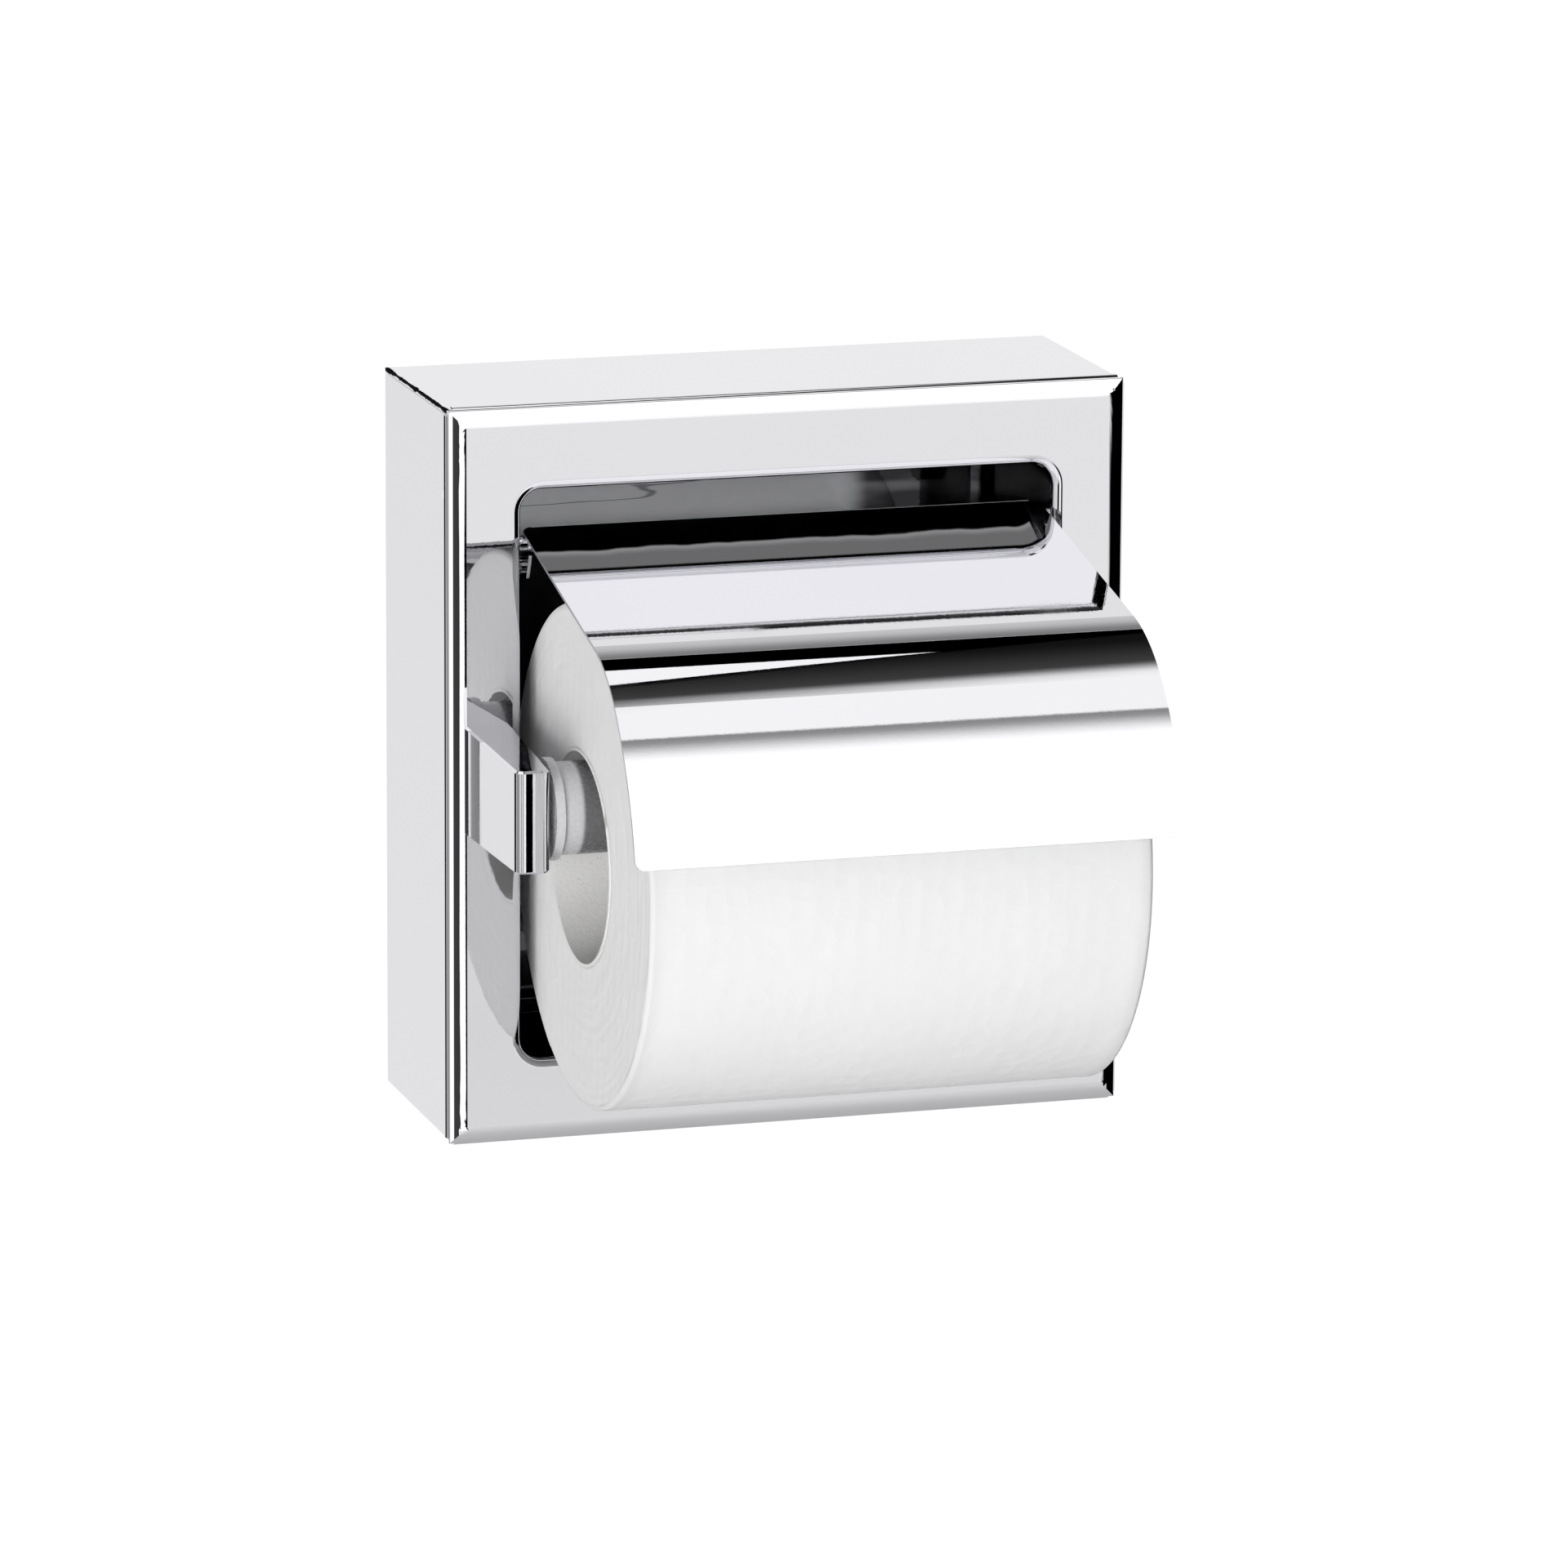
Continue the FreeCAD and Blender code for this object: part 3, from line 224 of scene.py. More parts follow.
def distance_from(tree, place, centre, axes):
    """How far a place is from a centre, measured along the axes that are given as 1."""
    off = add(tree, "ShaderNodeVectorMath", {0: place, 1: centre}, operation="SUBTRACT")
    kept = add(tree, "ShaderNodeVectorMath", {0: off.outputs[0], 1: axes}, operation="MULTIPLY")
    return add(tree, "ShaderNodeVectorMath", {0: kept.outputs[0]}, operation="LENGTH").outputs["Value"]


def noise_texture(tree, place, scale, detail, roughness, stretch=None):
    """A cloudy pattern on the object's own coordinates, in metres."""
    if stretch:
        mapping = add(tree, "ShaderNodeMapping", {"Vector": place, "Scale": stretch})
        place = mapping.outputs["Vector"]
    values = {"Vector": place, "Scale": scale, "Detail": detail, "Roughness": roughness}
    return add(tree, "ShaderNodeTexNoise", values).outputs["Fac"]


def new_group(name, inputs, output):
    """An empty shader group with named inputs and one number as its output."""
    tree = bpy.data.node_groups.new(name, "ShaderNodeTree")
    for label, kind in inputs:
        tree.interface.new_socket(label, in_out="INPUT", socket_type=kind)
    tree.interface.new_socket(output, in_out="OUTPUT", socket_type="NodeSocketFloat")
    return tree, tree.nodes.new("NodeGroupInput").outputs, tree.nodes.new("NodeGroupOutput").inputs


def place_group(tree, group, values):
    """The group as a node of a material, with this material's own values."""
    return add(tree, "ShaderNodeGroup", values, node_tree=group)


# Effects that several finishes use
def make_handling_group():
    """Wiped smears and soft cloudy marks, as a share of extra dullness."""
    inputs = [("Place", "NodeSocketVector"), ("Amount", "NodeSocketFloat"), ("Least", "NodeSocketFloat")]
    tree, given, result = new_group("handling_marks", inputs, "Roughness")
    clouds = noise_texture(tree, given["Place"], scale=38.0, detail=4.0, roughness=0.55)
    smears = noise_texture(tree, given["Place"], scale=70.0, detail=3.0, roughness=0.6,
                           stretch=(0.35, 1.0, 1.6))
    blotches = map_range(tree, clouds, (0.48, 0.74))
    streaks = map_range(tree, smears, (0.5, 0.8), (0.0, 0.6))
    dull = math_node(tree, "MAXIMUM", blotches, streaks)
    extra = math_node(tree, "MULTIPLY", dull, given["Amount"])
    fill(tree, result["Roughness"], math_node(tree, "ADD", extra, given["Least"]))
    return tree


def make_sheet_group():
    """The faint unevenness of bent and drawn sheet metal, and its polishing lines."""
    inputs = [("Place", "NodeSocketVector"), ("Waves", "NodeSocketFloat"), ("Lines", "NodeSocketFloat")]
    tree, given, result = new_group("sheet_unevenness", inputs, "Height")
    waves = noise_texture(tree, given["Place"], scale=22.0, detail=1.0, roughness=0.4)
    lines = noise_texture(tree, given["Place"], scale=900.0, detail=2.0, roughness=0.6,
                          stretch=(1.0, 0.06, 1.0))
    tall = math_node(tree, "MULTIPLY", waves, given["Waves"])
    fine = math_node(tree, "MULTIPLY", lines, given["Lines"])
    fill(tree, result["Height"], math_node(tree, "ADD", tall, fine))
    return tree


HANDLING = make_handling_group()
SHEET = make_sheet_group()


def new_material(name):
    """A material with its tree, its shader and its texture coordinates."""
    made = bpy.data.materials.new(name)
    made.use_nodes = True
    tree = made.node_tree
    return made, tree, tree.nodes["Principled BSDF"], tree.nodes.new("ShaderNodeTexCoord").outputs


def set_bump(tree, shader, height, distance, strength=1.0):
    """Lets a height pattern, in the given distance, tilt the surface."""
    bump = add(tree, "ShaderNodeBump", {"Strength": strength, "Distance": distance, "Height": height})
    fill(tree, shader.inputs["Normal"], bump.outputs["Normal"])


def polished_steel(name, waves, marks=0.05):
    """Mirror polished stainless steel with light handling marks."""
    made, tree, shader, spot = new_material(name)
    shader.inputs["Metallic"].default_value = 1.0
    cloud = noise_texture(tree, spot["Object"], scale=14.0, detail=2.0, roughness=0.5)
    darker = tuple(part * 0.97 for part in STEEL[:3]) + (1.0,)
    fill(tree, shader.inputs["Base Color"], mix_colour(tree, cloud, STEEL, darker))
    handled = place_group(tree, HANDLING, {"Place": spot["Object"], "Amount": marks, "Least": 0.02})
    fill(tree, shader.inputs["Roughness"], handled.outputs["Roughness"])
    sheet = place_group(tree, SHEET, {"Place": spot["Object"], "Waves": waves, "Lines": 0.004})
    set_bump(tree, shader, sheet.outputs["Height"], distance=0.0006)
    return made, tree, shader, spot


def drawn_steel(name):
    """Polished in front, and wavier in the drawn recess behind the flange, where painted shade and painted
    dark reflections dim the colour: darker on the side walls, behind the roll, at the right end and along
    wavy lines.
    """
    flange_waves, recess_waves = 0.16, 0.5
    made, tree, shader, spot = polished_steel(name, flange_waves)
    across, depth, height = parts_of(tree, spot["Object"])
    inside = map_range(tree, depth, RECESS_BEGINS)
    sheet = next(node for node in tree.nodes if node.type == "GROUP" and node.node_tree == SHEET)
    fill(tree, sheet.inputs["Waves"], mix_number(tree, inside, flange_waves, recess_waves))
    swirls = noise_texture(tree, spot["Object"], scale=48.0, detail=2.0, roughness=0.5,
                           stretch=(0.4, 1.0, 3.0))
    # Painted dark reflections: wavy dark lines across the recess
    off_line = math_node(tree, "ABSOLUTE", math_node(tree, "SUBTRACT", swirls, 0.58))
    lines = map_range(tree, off_line, (0.004, 0.02), (0.75, 0.0))
    # Painted shade at the recess's right end, broken by the swirls
    end = map_range(tree, across, SHADED_END, (0.0, 0.97))
    painted_dark_end = math_node(tree, "MULTIPLY", end, map_range(tree, swirls, (0.30, 0.42), (0.8, 1.0)))
    # Painted shade on the recess's side walls and low down behind the roll
    facing = math_node(tree, "ABSOLUTE", parts_of(tree, spot["Normal"])["X"])
    shaded_side_wall = map_range(tree, facing, SIDE_FACING, (0.0, 0.9))
    shade_behind_roll = map_range(tree, height, SHADE_BEHIND_ROLL, (0.85, 0.0))
    # All this painted shade, mixed over the polished colour behind the flange
    darkened = chain(tree, "MAXIMUM", lines, painted_dark_end, shaded_side_wall, shade_behind_roll)
    recess = mix_colour(tree, darkened, RECESS_SHADE, RECESS_DEEP_SHADE)
    mix_over(tree, shader.inputs["Base Color"], mix_colour, inside, recess)
    add_ceiling_glow(tree, shader, spot["Object"], depth, height)
    return made


def add_ceiling_glow(tree, shader, place, depth, height):
    """A painted glow on the front of the recess's ceiling: grey emitted light, though it is no lamp, which
    the hood's flat part mirrors.
    """
    waves = noise_texture(tree, place, scale=60.0, detail=2.0, roughness=0.5, stretch=(1.0, 0.0, 0.0))
    along = math_node(tree, "ADD", depth, map_range(tree, waves, (0.3, 0.7), (-0.0005, 0.0005)))
    before_rear = map_range(tree, along, GLOW_FADE, (1.0, 0.0))
    level = map_range(tree, along, GLOW_SLOPE, (0.185, 0.36))
    behind_rim = map_range(tree, depth, GLOW_BEHIND_RIM)
    over = math_node(tree, "GREATER_THAN", height, CEILING - CEILING_UNDER)
    inner = math_node(tree, "LESS_THAN", height, CEILING + CEILING_OVER)
    painted_glow = chain(tree, "MULTIPLY", before_rear, level, behind_rim, over, inner)
    # Painted glow: the ceiling strip emits grey light
    fill(tree, shader.inputs["Emission Color"], mix_colour(tree, painted_glow, BLACK, WHITE))
    shader.inputs["Emission Strength"].default_value = 1.0


def bent_steel(name):
    """The hood's polished steel, with duller and darker cut edges."""
    made, tree, shader, spot = polished_steel(name, waves=0.04, marks=0.03)
    across, depth, height = parts_of(tree, spot["Object"])
    aside = math_node(tree, "ABSOLUTE", across)
    facing = math_node(tree, "ABSOLUTE", parts_of(tree, spot["Normal"])["X"])
    sideways = math_node(tree, "GREATER_THAN", facing, CUT_FACING)
    side_cut = math_node(tree, "MULTIPLY", sideways, math_node(tree, "GREATER_THAN", aside, PAST_EARS))
    low_cut = math_node(tree, "LESS_THAN", height, hood_low.z + LOW_CUT_HEIGHT)
    middle = math_node(tree, "LESS_THAN", aside, HOOD_REAR_HALF)
    rearmost = math_node(tree, "GREATER_THAN", depth, HOOD_REAR - REAR_CUT_DEPTH)
    rear_cut = math_node(tree, "MULTIPLY", rearmost, middle)
    cut = chain(tree, "MAXIMUM", side_cut, low_cut, rear_cut)
    mix_over(tree, shader.inputs["Base Color"], mix_colour, cut, CUT_STEEL)
    mix_over(tree, shader.inputs["Roughness"], mix_number, cut, 0.35)
    fill(tree, shader.inputs["Metallic"], math_node(tree, "SUBTRACT", 1.0, rear_cut))
    return made


def folded_steel(name):
    """Polished steel with the dark, uneven joint where the collar's top meets its left side."""
    made, tree, shader, spot = polished_steel(name, waves=0.10)
    corner = (collar_low.x, 0.0, collar_high.z)
    distance = distance_from(tree, spot["Object"], corner, axes=(1.0, 0.0, 1.0))
    ragged = noise_texture(tree, spot["Object"], scale=130.0, detail=3.0, roughness=0.6,
                           stretch=(0.0, 1.0, 0.0))
    width = map_range(tree, ragged, (0.35, 0.6), JOINT_WIDTH, smooth=False)
    joint = map_range(tree, math_node(tree, "DIVIDE", distance, width), (0.8, 1.15), (1.0, 0.0))
    mix_over(tree, shader.inputs["Base Color"], mix_colour, joint, JOINT_BLACK)
    clean = math_node(tree, "SUBTRACT", 1.0, joint)
    fill(tree, shader.inputs["Metallic"], clean)
    fill(tree, shader.inputs["Specular IOR Level"], math_node(tree, "MULTIPLY", clean, 0.5))
    return made


def cast_steel(name):
    """Polished steel of the posts and pins, whose fronts are ground a little round from side to side."""
    made, tree, _, spot = polished_steel(name, waves=0.10)
    across = math_node(tree, "ABSOLUTE", parts_of(tree, spot["Object"])["X"])
    aside = math_node(tree, "SUBTRACT", across, TIP_MIDDLE)
    dome = math_node(tree, "MULTIPLY", math_node(tree, "MULTIPLY", aside, aside), -TIP_ROUNDING)
    front = map_range(tree, parts_of(tree, spot["Normal"])["Y"], TIP_FACING, (1.0, 0.0))
    rise = math_node(tree, "MULTIPLY", dome, front)
    height = next(node for node in tree.nodes if node.type == "BUMP").inputs["Height"]
    fill(tree, height, math_node(tree, "ADD", height.links[0].from_socket, rise))
    return made


def zinc_plated(name):
    """Bright zinc plate: bluish, a little dull and mottled."""
    made, tree, shader, spot = new_material(name)
    shader.inputs["Metallic"].default_value = 1.0
    mottle = noise_texture(tree, spot["Object"], scale=260.0, detail=4.0, roughness=0.65)
    patches = map_range(tree, mottle, (0.35, 0.68))
    fill(tree, shader.inputs["Base Color"], mix_colour(tree, patches, ZINC_DEEP, ZINC_PALE))
    handled = place_group(tree, HANDLING, {"Place": spot["Object"], "Amount": 0.12, "Least": 0.26})
    fill(tree, shader.inputs["Roughness"], handled.outputs["Roughness"])
    set_bump(tree, shader, mottle, distance=0.00006)
    return made


def spindle_moulding(name):
    """Smooth grey moulded plastic with a faint flow pattern and fine scuffs, and a painted shadow towards its
    middle, inside the roll's tube.
    """
    made, tree, shader, spot = new_material(name)
    flow = noise_texture(tree, spot["Object"], scale=60.0, detail=3.0, roughness=0.5, stretch=(0.3, 1.0, 1.0))
    light = mix_colour(tree, flow, MOULDING_FLOW, MOULDING_PALE)
    aside = math_node(tree, "ABSOLUTE", parts_of(tree, spot["Object"])["X"])
    # Painted shadow: dark towards the middle, where the tube's rim shades the spindle
    painted_shadow = map_range(tree, aside, SPINDLE_SHADOW, (1.0, 0.0))
    fill(tree, shader.inputs["Base Color"], mix_colour(tree, painted_shadow, light, MOULDING_SHADOW))
    scuffs = noise_texture(tree, spot["Object"], scale=1100.0, detail=3.0, roughness=0.6)
    fill(tree, shader.inputs["Roughness"], map_range(tree, scuffs, (0.35, 0.75), (0.24, 0.34)))
    set_bump(tree, shader, scuffs, distance=0.0000015)
    return made


def tube_card(name):
    """Grey-white recycled card wound on a spiral, with flecks of fibre."""
    made, tree, shader, spot = new_material(name)
    fibre = noise_texture(tree, spot["Object"], scale=900.0, detail=5.0, roughness=0.7)
    flecks = noise_texture(tree, spot["Object"], scale=2400.0, detail=2.0, roughness=0.5)
    speck = map_range(tree, flecks, (0.62, 0.72), (0.0, 0.5))
    flecked = mix_colour(tree, speck, mix_colour(tree, fibre, CARD_GREY, CARD_PALE), CARD_FLECK)
    across, depth, height = parts_of(tree, spot["Object"])
    ahead = math_node(tree, "SUBTRACT", depth, ROLL_CENTRE.y)
    up = math_node(tree, "SUBTRACT", height, ROLL_CENTRE.z)
    turn = math_node(tree, "DIVIDE", math_node(tree, "ARCTAN2", up, ahead), 2 * math.pi)
    along = math_node(tree, "DIVIDE", across, SPIRAL_PITCH)
    winding = math_node(tree, "FRACT", math_node(tree, "ADD", turn, along))
    off_seam = math_node(tree, "ABSOLUTE", math_node(tree, "SUBTRACT", winding, 0.5))
    seam = map_range(tree, off_seam, (0.004, 0.012), (1.0, 0.0))
    darkened = mix_colour(tree, math_node(tree, "MULTIPLY", seam, 0.6), flecked, CARD_SEAM)
    fill(tree, shader.inputs["Base Color"], darkened)
    shader.inputs["Roughness"].default_value = 0.86
    set_bump(tree, shader, math_node(tree, "SUBTRACT", fibre, seam), distance=0.00012)
    return made


def tissue_paper(name):
    """Soft white tissue: fine fibre, a shallow pillow emboss and painted shade that greys the outer edges
    next to the ends.
    """
    made, tree, shader, spot = new_material(name)
    fibre = noise_texture(tree, spot["Object"], scale=1700.0, detail=4.0, roughness=0.7)
    cloud = noise_texture(tree, spot["Object"], scale=45.0, detail=3.0, roughness=0.5)
    tone = map_range(tree, fibre, (0.3, 0.7), (0.0, 0.12))
    fibrous = mix_colour(tree, tone, mix_colour(tree, cloud, TISSUE_CLOUD, TISSUE_WHITE), TISSUE_FIBRE)
    aside = distance_from(tree, spot["Object"], ROLL_CENTRE, axes=(1.0, 0.0, 0.0))
    out = distance_from(tree, spot["Object"], ROLL_CENTRE, axes=(0.0, 1.0, 1.0))
    # Painted shade: the outermost turns next to each end are made greyer
    beside_end = map_range(tree, aside, (ROLL_HALF_WIDTH - 0.0045, ROLL_HALF_WIDTH - 0.0006), (0.0, 0.8))
    outermost = map_range(tree, out, (ROLL_RADIUS - 0.0022, ROLL_RADIUS - 0.0010))
    edge = math_node(tree, "MULTIPLY", beside_end, outermost)
    fill(tree, shader.inputs["Base Color"], mix_colour(tree, edge, fibrous, TISSUE_EDGE_SHADE))
    shader.inputs["Roughness"].default_value = 0.94
    shader.inputs["Specular IOR Level"].default_value = 0.2
    cells = {"Vector": spot["Object"], "Scale": 210.0, "Randomness": 0.55}
    pillow = add(tree, "ShaderNodeTexVoronoi", cells).outputs["Distance"]
    soft = map_range(tree, pillow, (0.1, 0.75))
    both = math_node(tree, "ADD", soft, math_node(tree, "MULTIPLY", fibre, 0.35))
    set_bump(tree, shader, both, distance=0.00010, strength=0.8)
    return made


# The finishes, and which solid gets which
FINISHES = {
    "collar": folded_steel("polished_collar"),
    "housing": drawn_steel("polished_housing"),
    "hood": bent_steel("polished_hood"),
    "post": cast_steel("polished_posts"),
    "zinc": zinc_plated("zinc_plate"),
    "plastic": spindle_moulding("grey_moulding"),
    "card": tube_card("spiral_card"),
    "tissue": tissue_paper("soft_tissue"),
}
NODE_FINISH = {
    "surface_collar": "collar",
    "recess_housing": "housing",
    "hood": "hood",
    "left_post": "post",
    "right_post": "post",
    "hinge_pin_left": "post",
    "hinge_pin_right": "post",
    "hinge_spacer_left": "post",
    "hinge_spacer_right": "post",
    "hood_stop_left": "post",
    "hood_stop_right": "post",
    "spindle_sleeve": "plastic",
    "spindle_plunger": "plastic",
    "roll_core": "card",
    "paper_roll": "tissue",
}


def finish_nodes():
    """Every solid of the frame gets its finish; what isn't listed is zinc plated."""
    for name, node in NODES.items():
        made = FINISHES[NODE_FINISH.get(name, "zinc")]
        for slot in node.material_slots:
            slot.material = made


def put_in_scene(name, data):
    """An object in the scene for this mesh, lamp or camera."""
    made = bpy.data.objects.new(name, data)
    bpy.context.scene.collection.objects.link(made)
    return made


# The roll of paper
def roll_outline():
    """Rings from the tube outwards, across and back to the tube: place along X, radius and kind."""
    half = ROLL_HALF_WIDTH - UNDER_END
    outer = ROLL_RADIUS - UNDER_SURFACE
    inner = TUBE_RADIUS + OVER_TUBE
    rings = []
    for i in range(END_RINGS + 1):
        share = i / END_RINGS
        rings.append((-half, inner + (outer - SHOULDER - inner) * share, "end"))
    for i in range(1, SHOULDER_STEPS):
        turn = math.radians(90 * i / SHOULDER_STEPS)
        rings.append((-half + SHOULDER * (1 - math.cos(turn)),
                      outer - SHOULDER + SHOULDER * math.sin(turn), "shoulder"))
    for i in range(STEPS_ACROSS + 1):
        rings.append((-(half - SHOULDER) + 2 * (half - SHOULDER) * i / STEPS_ACROSS, outer, "side"))
    return rings + [(-x, radius, kind) for x, radius, kind in reversed(rings) if kind != "side"]


def paper_place(x, radius, kind, turn):
    """A point of the paper: soft swells, the step of the last sheet, and layers that lie back in the ends."""
    way = Vector((0.0, math.cos(turn), math.sin(turn)))
    bulge = SWELL * noise.noise(Vector((x * SWELL_ALONG, 0, 0)) + way * SWELL_ROUND)
    if kind != "end":
        bulge -= LAST_SHEET * ((turn - LAST_EDGE) / (2 * math.pi) % 1.0)
    dip = 0.0
    if kind == "end":
        dip = LAYER_DIP * noise.noise(Vector((radius * LAYER_DIP_OUT, 3.0, 0.0)) + way * LAYER_DIP_ROUND)
        dip += DENT * noise.noise(way * DENT_ROUND + Vector((0, 0, radius * DENT_OUT)))
    inwards = 1 if x < 0 else -1
    return ROLL_CENTRE + Vector((x + inwards * abs(dip), 0, 0)) + way * (radius + bulge)


def wound_paper():
    """The whole roll as one closed ring: rounded shoulders, slightly uneven ends and a soft surface."""
    work = bmesh.new()
    turns = [2 * math.pi * j / STEPS_AROUND for j in range(STEPS_AROUND)]
    loops = [[work.verts.new(paper_place(*ring, turn)) for turn in turns] for ring in roll_outline()]
    for first, second in zip(loops, loops[1:] + loops[:1]):
        for j in range(STEPS_AROUND):
            k = (j + 1) % STEPS_AROUND
            work.faces.new((first[j], first[k], second[k], second[j]))
    bmesh.ops.recalc_face_normals(work, faces=work.faces)
    for face in work.faces:
        face.smooth = True
    mesh = bpy.data.meshes.new("wound_paper")
    work.to_mesh(mesh)
    work.free()
    mesh.materials.append(FINISHES["tissue"])
    made = put_in_scene("wound_paper", mesh)
    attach(made, "roll")
    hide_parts("paper_roll")


# The studio
def empty_tree(owner):
    """The node tree of a new material or world, with nothing in it yet."""
    owner.use_nodes = True
    owner.node_tree.nodes.clear()
    return owner.node_tree


def straight_seen(tree):
    """One for what the eye and mirrors see, nought for light on dull surfaces. Then the eye alone."""
    path = tree.nodes.new("ShaderNodeLightPath").outputs
    seen = chain(tree, "MAXIMUM", path["Is Camera Ray"], path["Is Glossy Ray"], path["Is Transmission Ray"])
    direct = math_node(tree, "SUBTRACT", 1.0, path["Diffuse Depth"], clamp=True)
    return math_node(tree, "MULTIPLY", seen, direct), path["Is Camera Ray"]


def set_world():
    """White to the eye and in reflections, plain soft light on everything else."""
    world = bpy.data.worlds.new("studio")
    bpy.context.scene.world = world
    tree = empty_tree(world)
    seen, _ = straight_seen(tree)
    strength = mix_number(tree, seen, SURROUND_LIGHT, 1.0)
    white = add(tree, "ShaderNodeBackground", {"Color": WHITE, "Strength": strength})
    add(tree, "ShaderNodeOutputWorld", {"Surface": white.outputs[0]})


def flat_quad(name, corners, material):
    """A plain sheet of the studio from its four corners."""
    mesh = bpy.data.meshes.new(name)
    mesh.from_pydata(corners, [], [(0, 1, 2, 3)])
    mesh.update()
    mesh.materials.append(material)
    made = put_in_scene(name, mesh)
    return made


def make_floor():
    """A pale floor that keeps the shadow, glows in mirrors and to the eye, with painted shade dimming its
    glow in mirrors near the object, and can't be seen from below.
    """
    made = bpy.data.materials.new("pale_floor")
    tree = empty_tree(made)
    seen, eye = straight_seen(tree)
    pale = add(tree, "ShaderNodeBsdfDiffuse", {"Color": FLOOR_COLOUR}).outputs[0]
    spot = tree.nodes.new("ShaderNodeTexCoord").outputs["Object"]
    away = add(tree, "ShaderNodeVectorMath", {0: spot}, operation="LENGTH").outputs["Value"]
    # Painted shade: in mirrors the floor's glow is dim near the object and brighter farther off
    ahead = map_range(tree, away, FLOOR_AHEAD, FLOOR_AHEAD_GLOW, smooth=False)
    behind = map_range(tree, parts_of(tree, spot)["Y"], FLOOR_BEHIND)
    mirrored = mix_number(tree, behind, ahead, FLOOR_BEHIND_GLOW)
    strength = mix_number(tree, eye, mirrored, FLOOR_SEEN_GLOW)
    glow = add(tree, "ShaderNodeEmission", {"Color": WHITE, "Strength": strength}).outputs[0]
    glowing = add(tree, "ShaderNodeAddShader", {0: pale, 1: glow}).outputs[0]
    above_floor = mix_shader(tree, seen, pale, glowing)
    clear = tree.nodes.new("ShaderNodeBsdfTransparent").outputs[0]
    from_below = tree.nodes.new("ShaderNodeNewGeometry").outputs["Backfacing"]
    add(tree, "ShaderNodeOutputMaterial", {"Surface": mix_shader(tree, from_below, above_floor, clear)})
    r = FLOOR_REACH
    corners = [(-r, -r, FLOOR_LEVEL), (r, -r, FLOOR_LEVEL), (r, r, FLOOR_LEVEL), (-r, r, FLOOR_LEVEL)]
    flat_quad("floor", corners, made)


def even(shade):
    """The same shade from a card's start to its end."""
    return [(0, shade), (1, shade)]


def card_material(name, shades, fade):
    """A glowing card, shaded from its start (0) to its end (1), which may fade out at both."""
    made = bpy.data.materials.new(name)
    tree = empty_tree(made)
    along = parts_of(tree, tree.nodes.new("ShaderNodeTexCoord").outputs["UV"])["Y"]
    shading = add(tree, "ShaderNodeValToRGB", {"Fac": along})
    ramp = shading.color_ramp
    ramp.interpolation = "EASE"
    for position, _ in shades[1:-1]:
        ramp.elements.new(position)
    for step, (_, shade) in zip(ramp.elements, shades):
        step.color = (shade, shade, shade, 1.0)
    surface = add(tree, "ShaderNodeEmission", {"Color": shading.outputs["Color"], "Strength": 1.0}).outputs[0]
    if fade:
        fade_in = map_range(tree, along, (0.0, fade[0]))
        fade_out = map_range(tree, along, (1.0 - fade[1], 1.0), (1.0, 0.0))
        clear = tree.nodes.new("ShaderNodeBsdfTransparent").outputs[0]
        surface = mix_shader(tree, math_node(tree, "MULTIPLY", fade_in, fade_out), clear, surface)
    add(tree, "ShaderNodeOutputMaterial", {"Surface": surface})
    return made


def studio_card(name, start, end, shades, fade=None):
    """A card that only reflections see, from the two corners of its start to the two of its end."""
    made = flat_quad(name, [*start, *reversed(end)], card_material(name, shades, fade))
    layer = made.data.uv_layers.new(name="along")
    for corner, uv in zip(layer.data, ((0, 0), (1, 0), (1, 1), (0, 1))):
        corner.uv = uv
    made.visible_camera = False
    made.visible_diffuse = False
    made.visible_shadow = False
    made.visible_transmission = False


def edge_above(angle, distance):
    """A card's edge along X, at an angle from straight ahead up and over the object."""
    turn = math.radians(angle)
    y = STRIP_PIVOT[0] - distance * math.cos(turn)
    z = STRIP_PIVOT[1] + distance * math.sin(turn)
    return [(STRIP_LEFT, y, z), (STRIP_RIGHT, y, z)]


def strip_above(name, start, end, shades, distance=CARD_DISTANCE, fade=None):
    """A long flat strip over the object, between two angles."""
    studio_card(name, edge_above(start, distance), edge_above(end, distance), shades, fade)


def upright_edge(azimuth, pivot, high, distance):
    """A card's upright edge at an azimuth from straight ahead, positive to the right."""
    turn = math.radians(azimuth)
    x, y = pivot[0] + distance * math.sin(turn), pivot[1] - distance * math.cos(turn)
    return [(x, y, CARD_FOOT), (x, y, high)]


def upright_card(name, pivot, start, end, shades, high=CARD_HEAD, distance=CARD_DISTANCE, fade=None):
    """A standing card between two azimuths, as seen from one edge of the object."""
    first, last = (upright_edge(azimuth, pivot, high, distance) for azimuth in (start, end))
    studio_card(name, first, last, shades, fade)


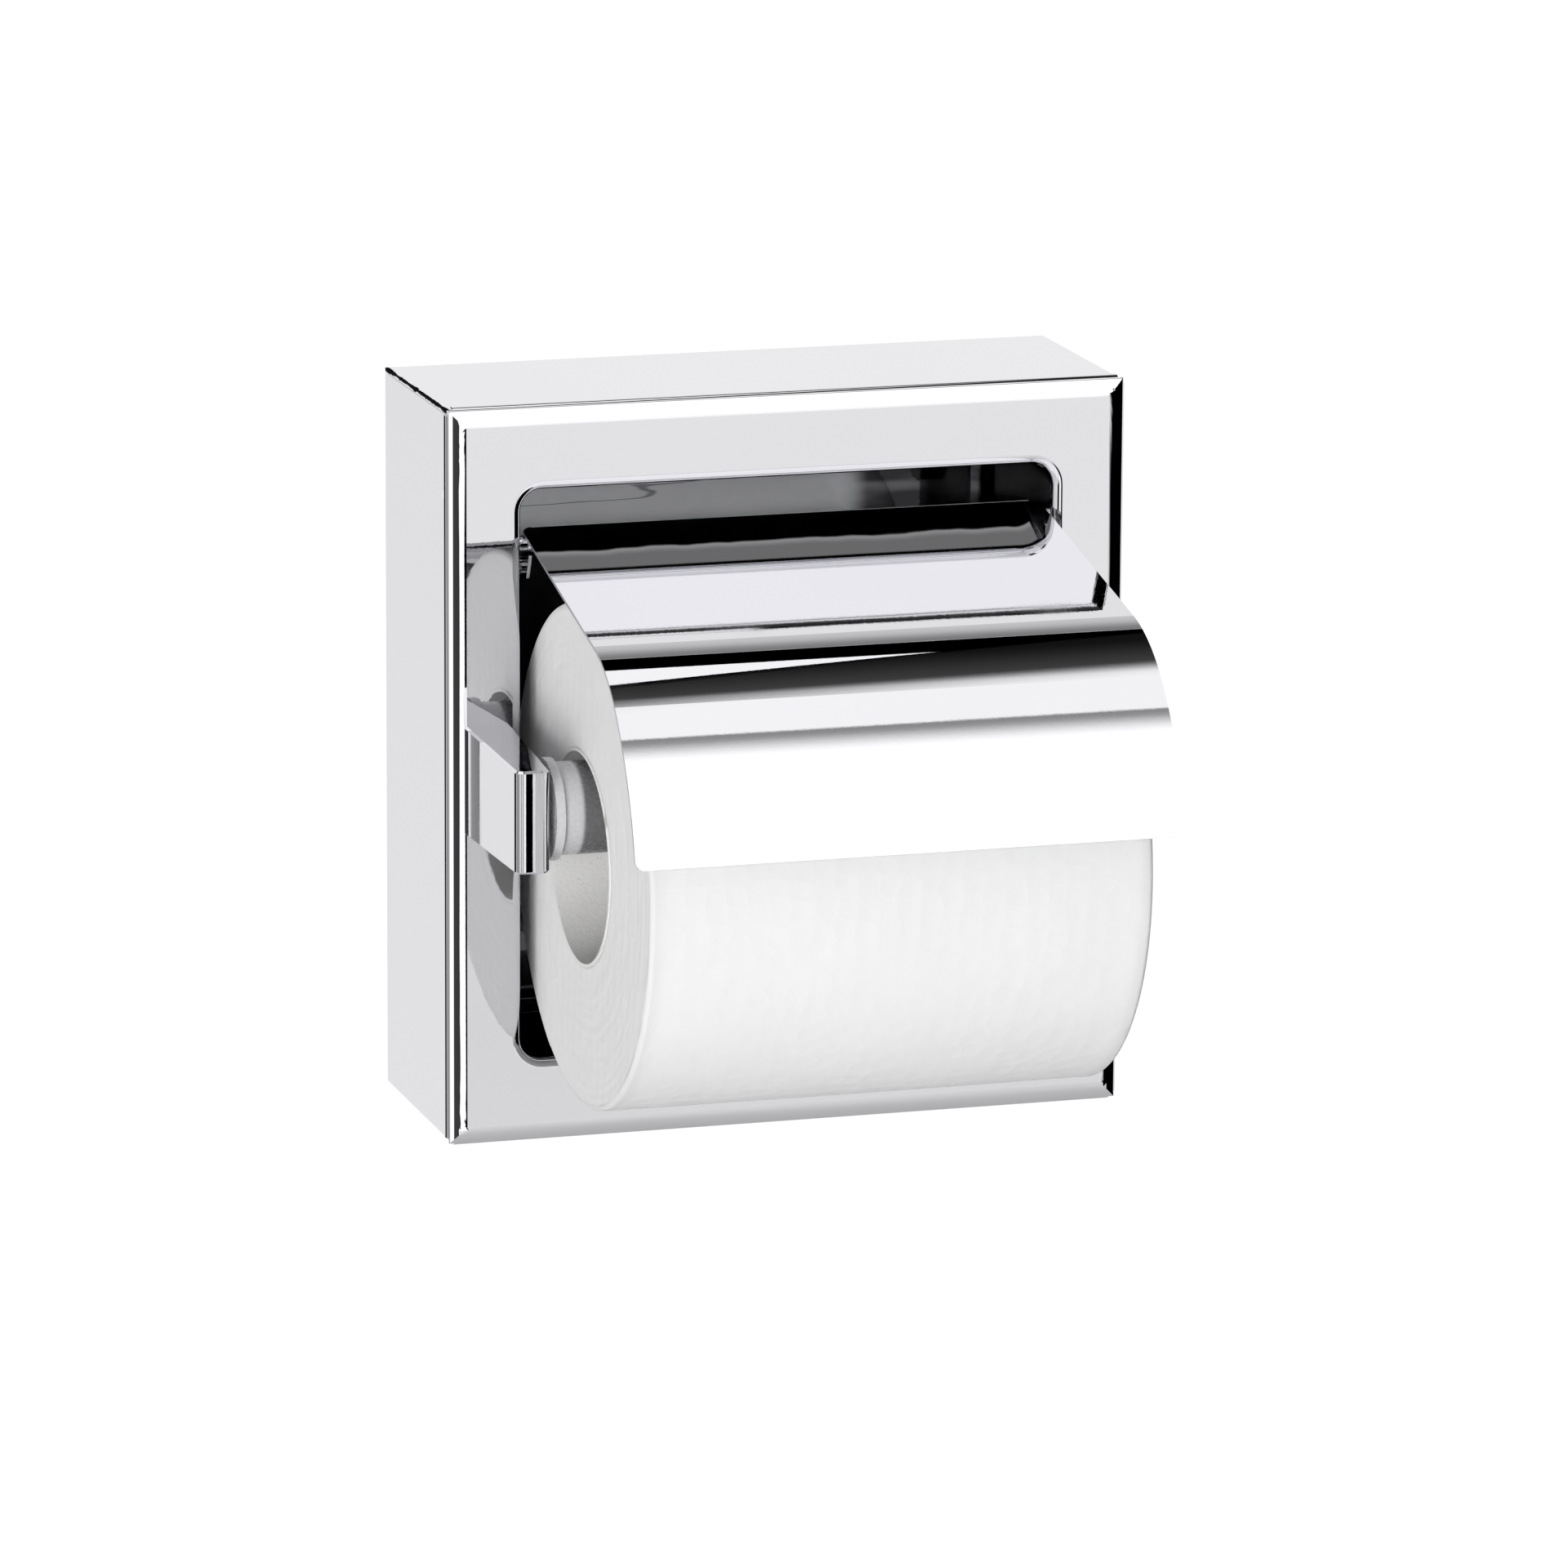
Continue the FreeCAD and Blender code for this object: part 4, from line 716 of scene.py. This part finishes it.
def make_cards():
    """The dark and bright cards that draw the bands in polished steel."""
    strip_above("card_bright_over", 59, 111, even(1.23), distance=1.8)
    strip_above("card_black_over", 110.5, 124, even(0.0), fade=(0.02, 0.03))
    strip_above("card_shade_over", 124, 143, [(0, 0.25), (1, 0.8)])
    strip_above("card_grey_line", 50, 62.3, [(0, 0.8), (1, 0.32)], fade=(0.85, 0.1))
    wedge_front = [(WEDGE_LEFT, -0.31, WEDGE_HEIGHT), (WEDGE_RIGHT, -0.13, WEDGE_HEIGHT)]
    wedge_rear = [(WEDGE_LEFT, -0.274, WEDGE_HEIGHT), (WEDGE_RIGHT, 0.30, WEDGE_HEIGHT)]
    wedge_shades = [(0, 0.08), (0.55, 0.008), (1, 0.0)]
    studio_card("card_wedge", wedge_front, wedge_rear, wedge_shades, fade=(0.2, 0.001))
    strip_above("card_softbox", -5, 59.5, even(1.5), distance=1.9, fade=(0.2, 0.02))
    upright_card("card_right", RIGHT_EDGE, 30, 90, even(0.0), high=1.5, fade=(0.15, 0.02))
    upright_card("card_left_glow", LEFT_EDGE, 2, -48, even(1.4), distance=2.1)
    upright_card("card_left_line", LEFT_EDGE, 14, 1.8, even(0.0), fade=(0.05, 0.08))
    upright_card("card_left_band", LEFT_EDGE, -15, -42, [(0, 0.045), (1, 0.07)], fade=(0.08, 0.02))
    upright_card("card_left_side", LEFT_EDGE, -52, -98, [(0, 0.45), (1, 0.3)], fade=(0.1, 0.1))
    upright_card("card_left_back", LEFT_EDGE, -104, -148, even(0.02))


def area_lamp(name, place, target, size, power, spread=180, in_mirrors=False):
    """A soft rectangular lamp, which reflections see only where it is asked for."""
    data = bpy.data.lights.new(name, "AREA")
    data.shape = "RECTANGLE"
    data.size, data.size_y = size
    data.energy = power
    data.spread = math.radians(spread)
    lamp = put_in_scene(name, data)
    lamp.location = place
    way = Vector(target) - Vector(place)
    lamp.rotation_euler = way.to_track_quat("-Z", "Y").to_euler()
    lamp.visible_glossy = in_mirrors
    lamp.visible_camera = False


def make_lamps():
    """A long strip in front, soft light from the left, and what the back wall throws on the roll."""
    area_lamp("lamp_strip", place=(0.10, -2.23, 0.53), target=(0.10, -0.06, 0.04), size=(3.2, 0.19), power=10,
              in_mirrors=True)
    area_lamp("lamp_left", place=(-1.41, -1.75, -0.08), target=(0, -0.08, 0), size=(1.1, 1.1), power=32)
    area_lamp("lamp_back_wall", place=(0, -0.0075, 0.047), target=(0, -0.064, 0.042), size=(0.115, 0.010),
              power=0.0125, spread=26)


def make_camera():
    """The camera at the photograph's place."""
    data = bpy.data.cameras.new("camera")
    data.sensor_width = CAMERA_SENSOR
    data.lens = CAMERA_LENS
    data.clip_start, data.clip_end = CAMERA_NEAREST, CAMERA_FARTHEST
    made = put_in_scene("camera", data)
    turn = Euler((math.pi / 2 - CAMERA_PITCH, 0.0, -CAMERA_YAW)).to_matrix()
    turn = turn @ Matrix.Rotation(CAMERA_ROLL, 3, "Z")
    made.matrix_world = Matrix.Translation(CAMERA_PLACE) @ turn.to_4x4()
    bpy.context.scene.camera = made


make_camera()
set_world()
make_floor()
make_cards()
make_lamps()
finish_nodes()
wound_paper()

bpy.context.scene.view_settings.view_transform = "Standard"
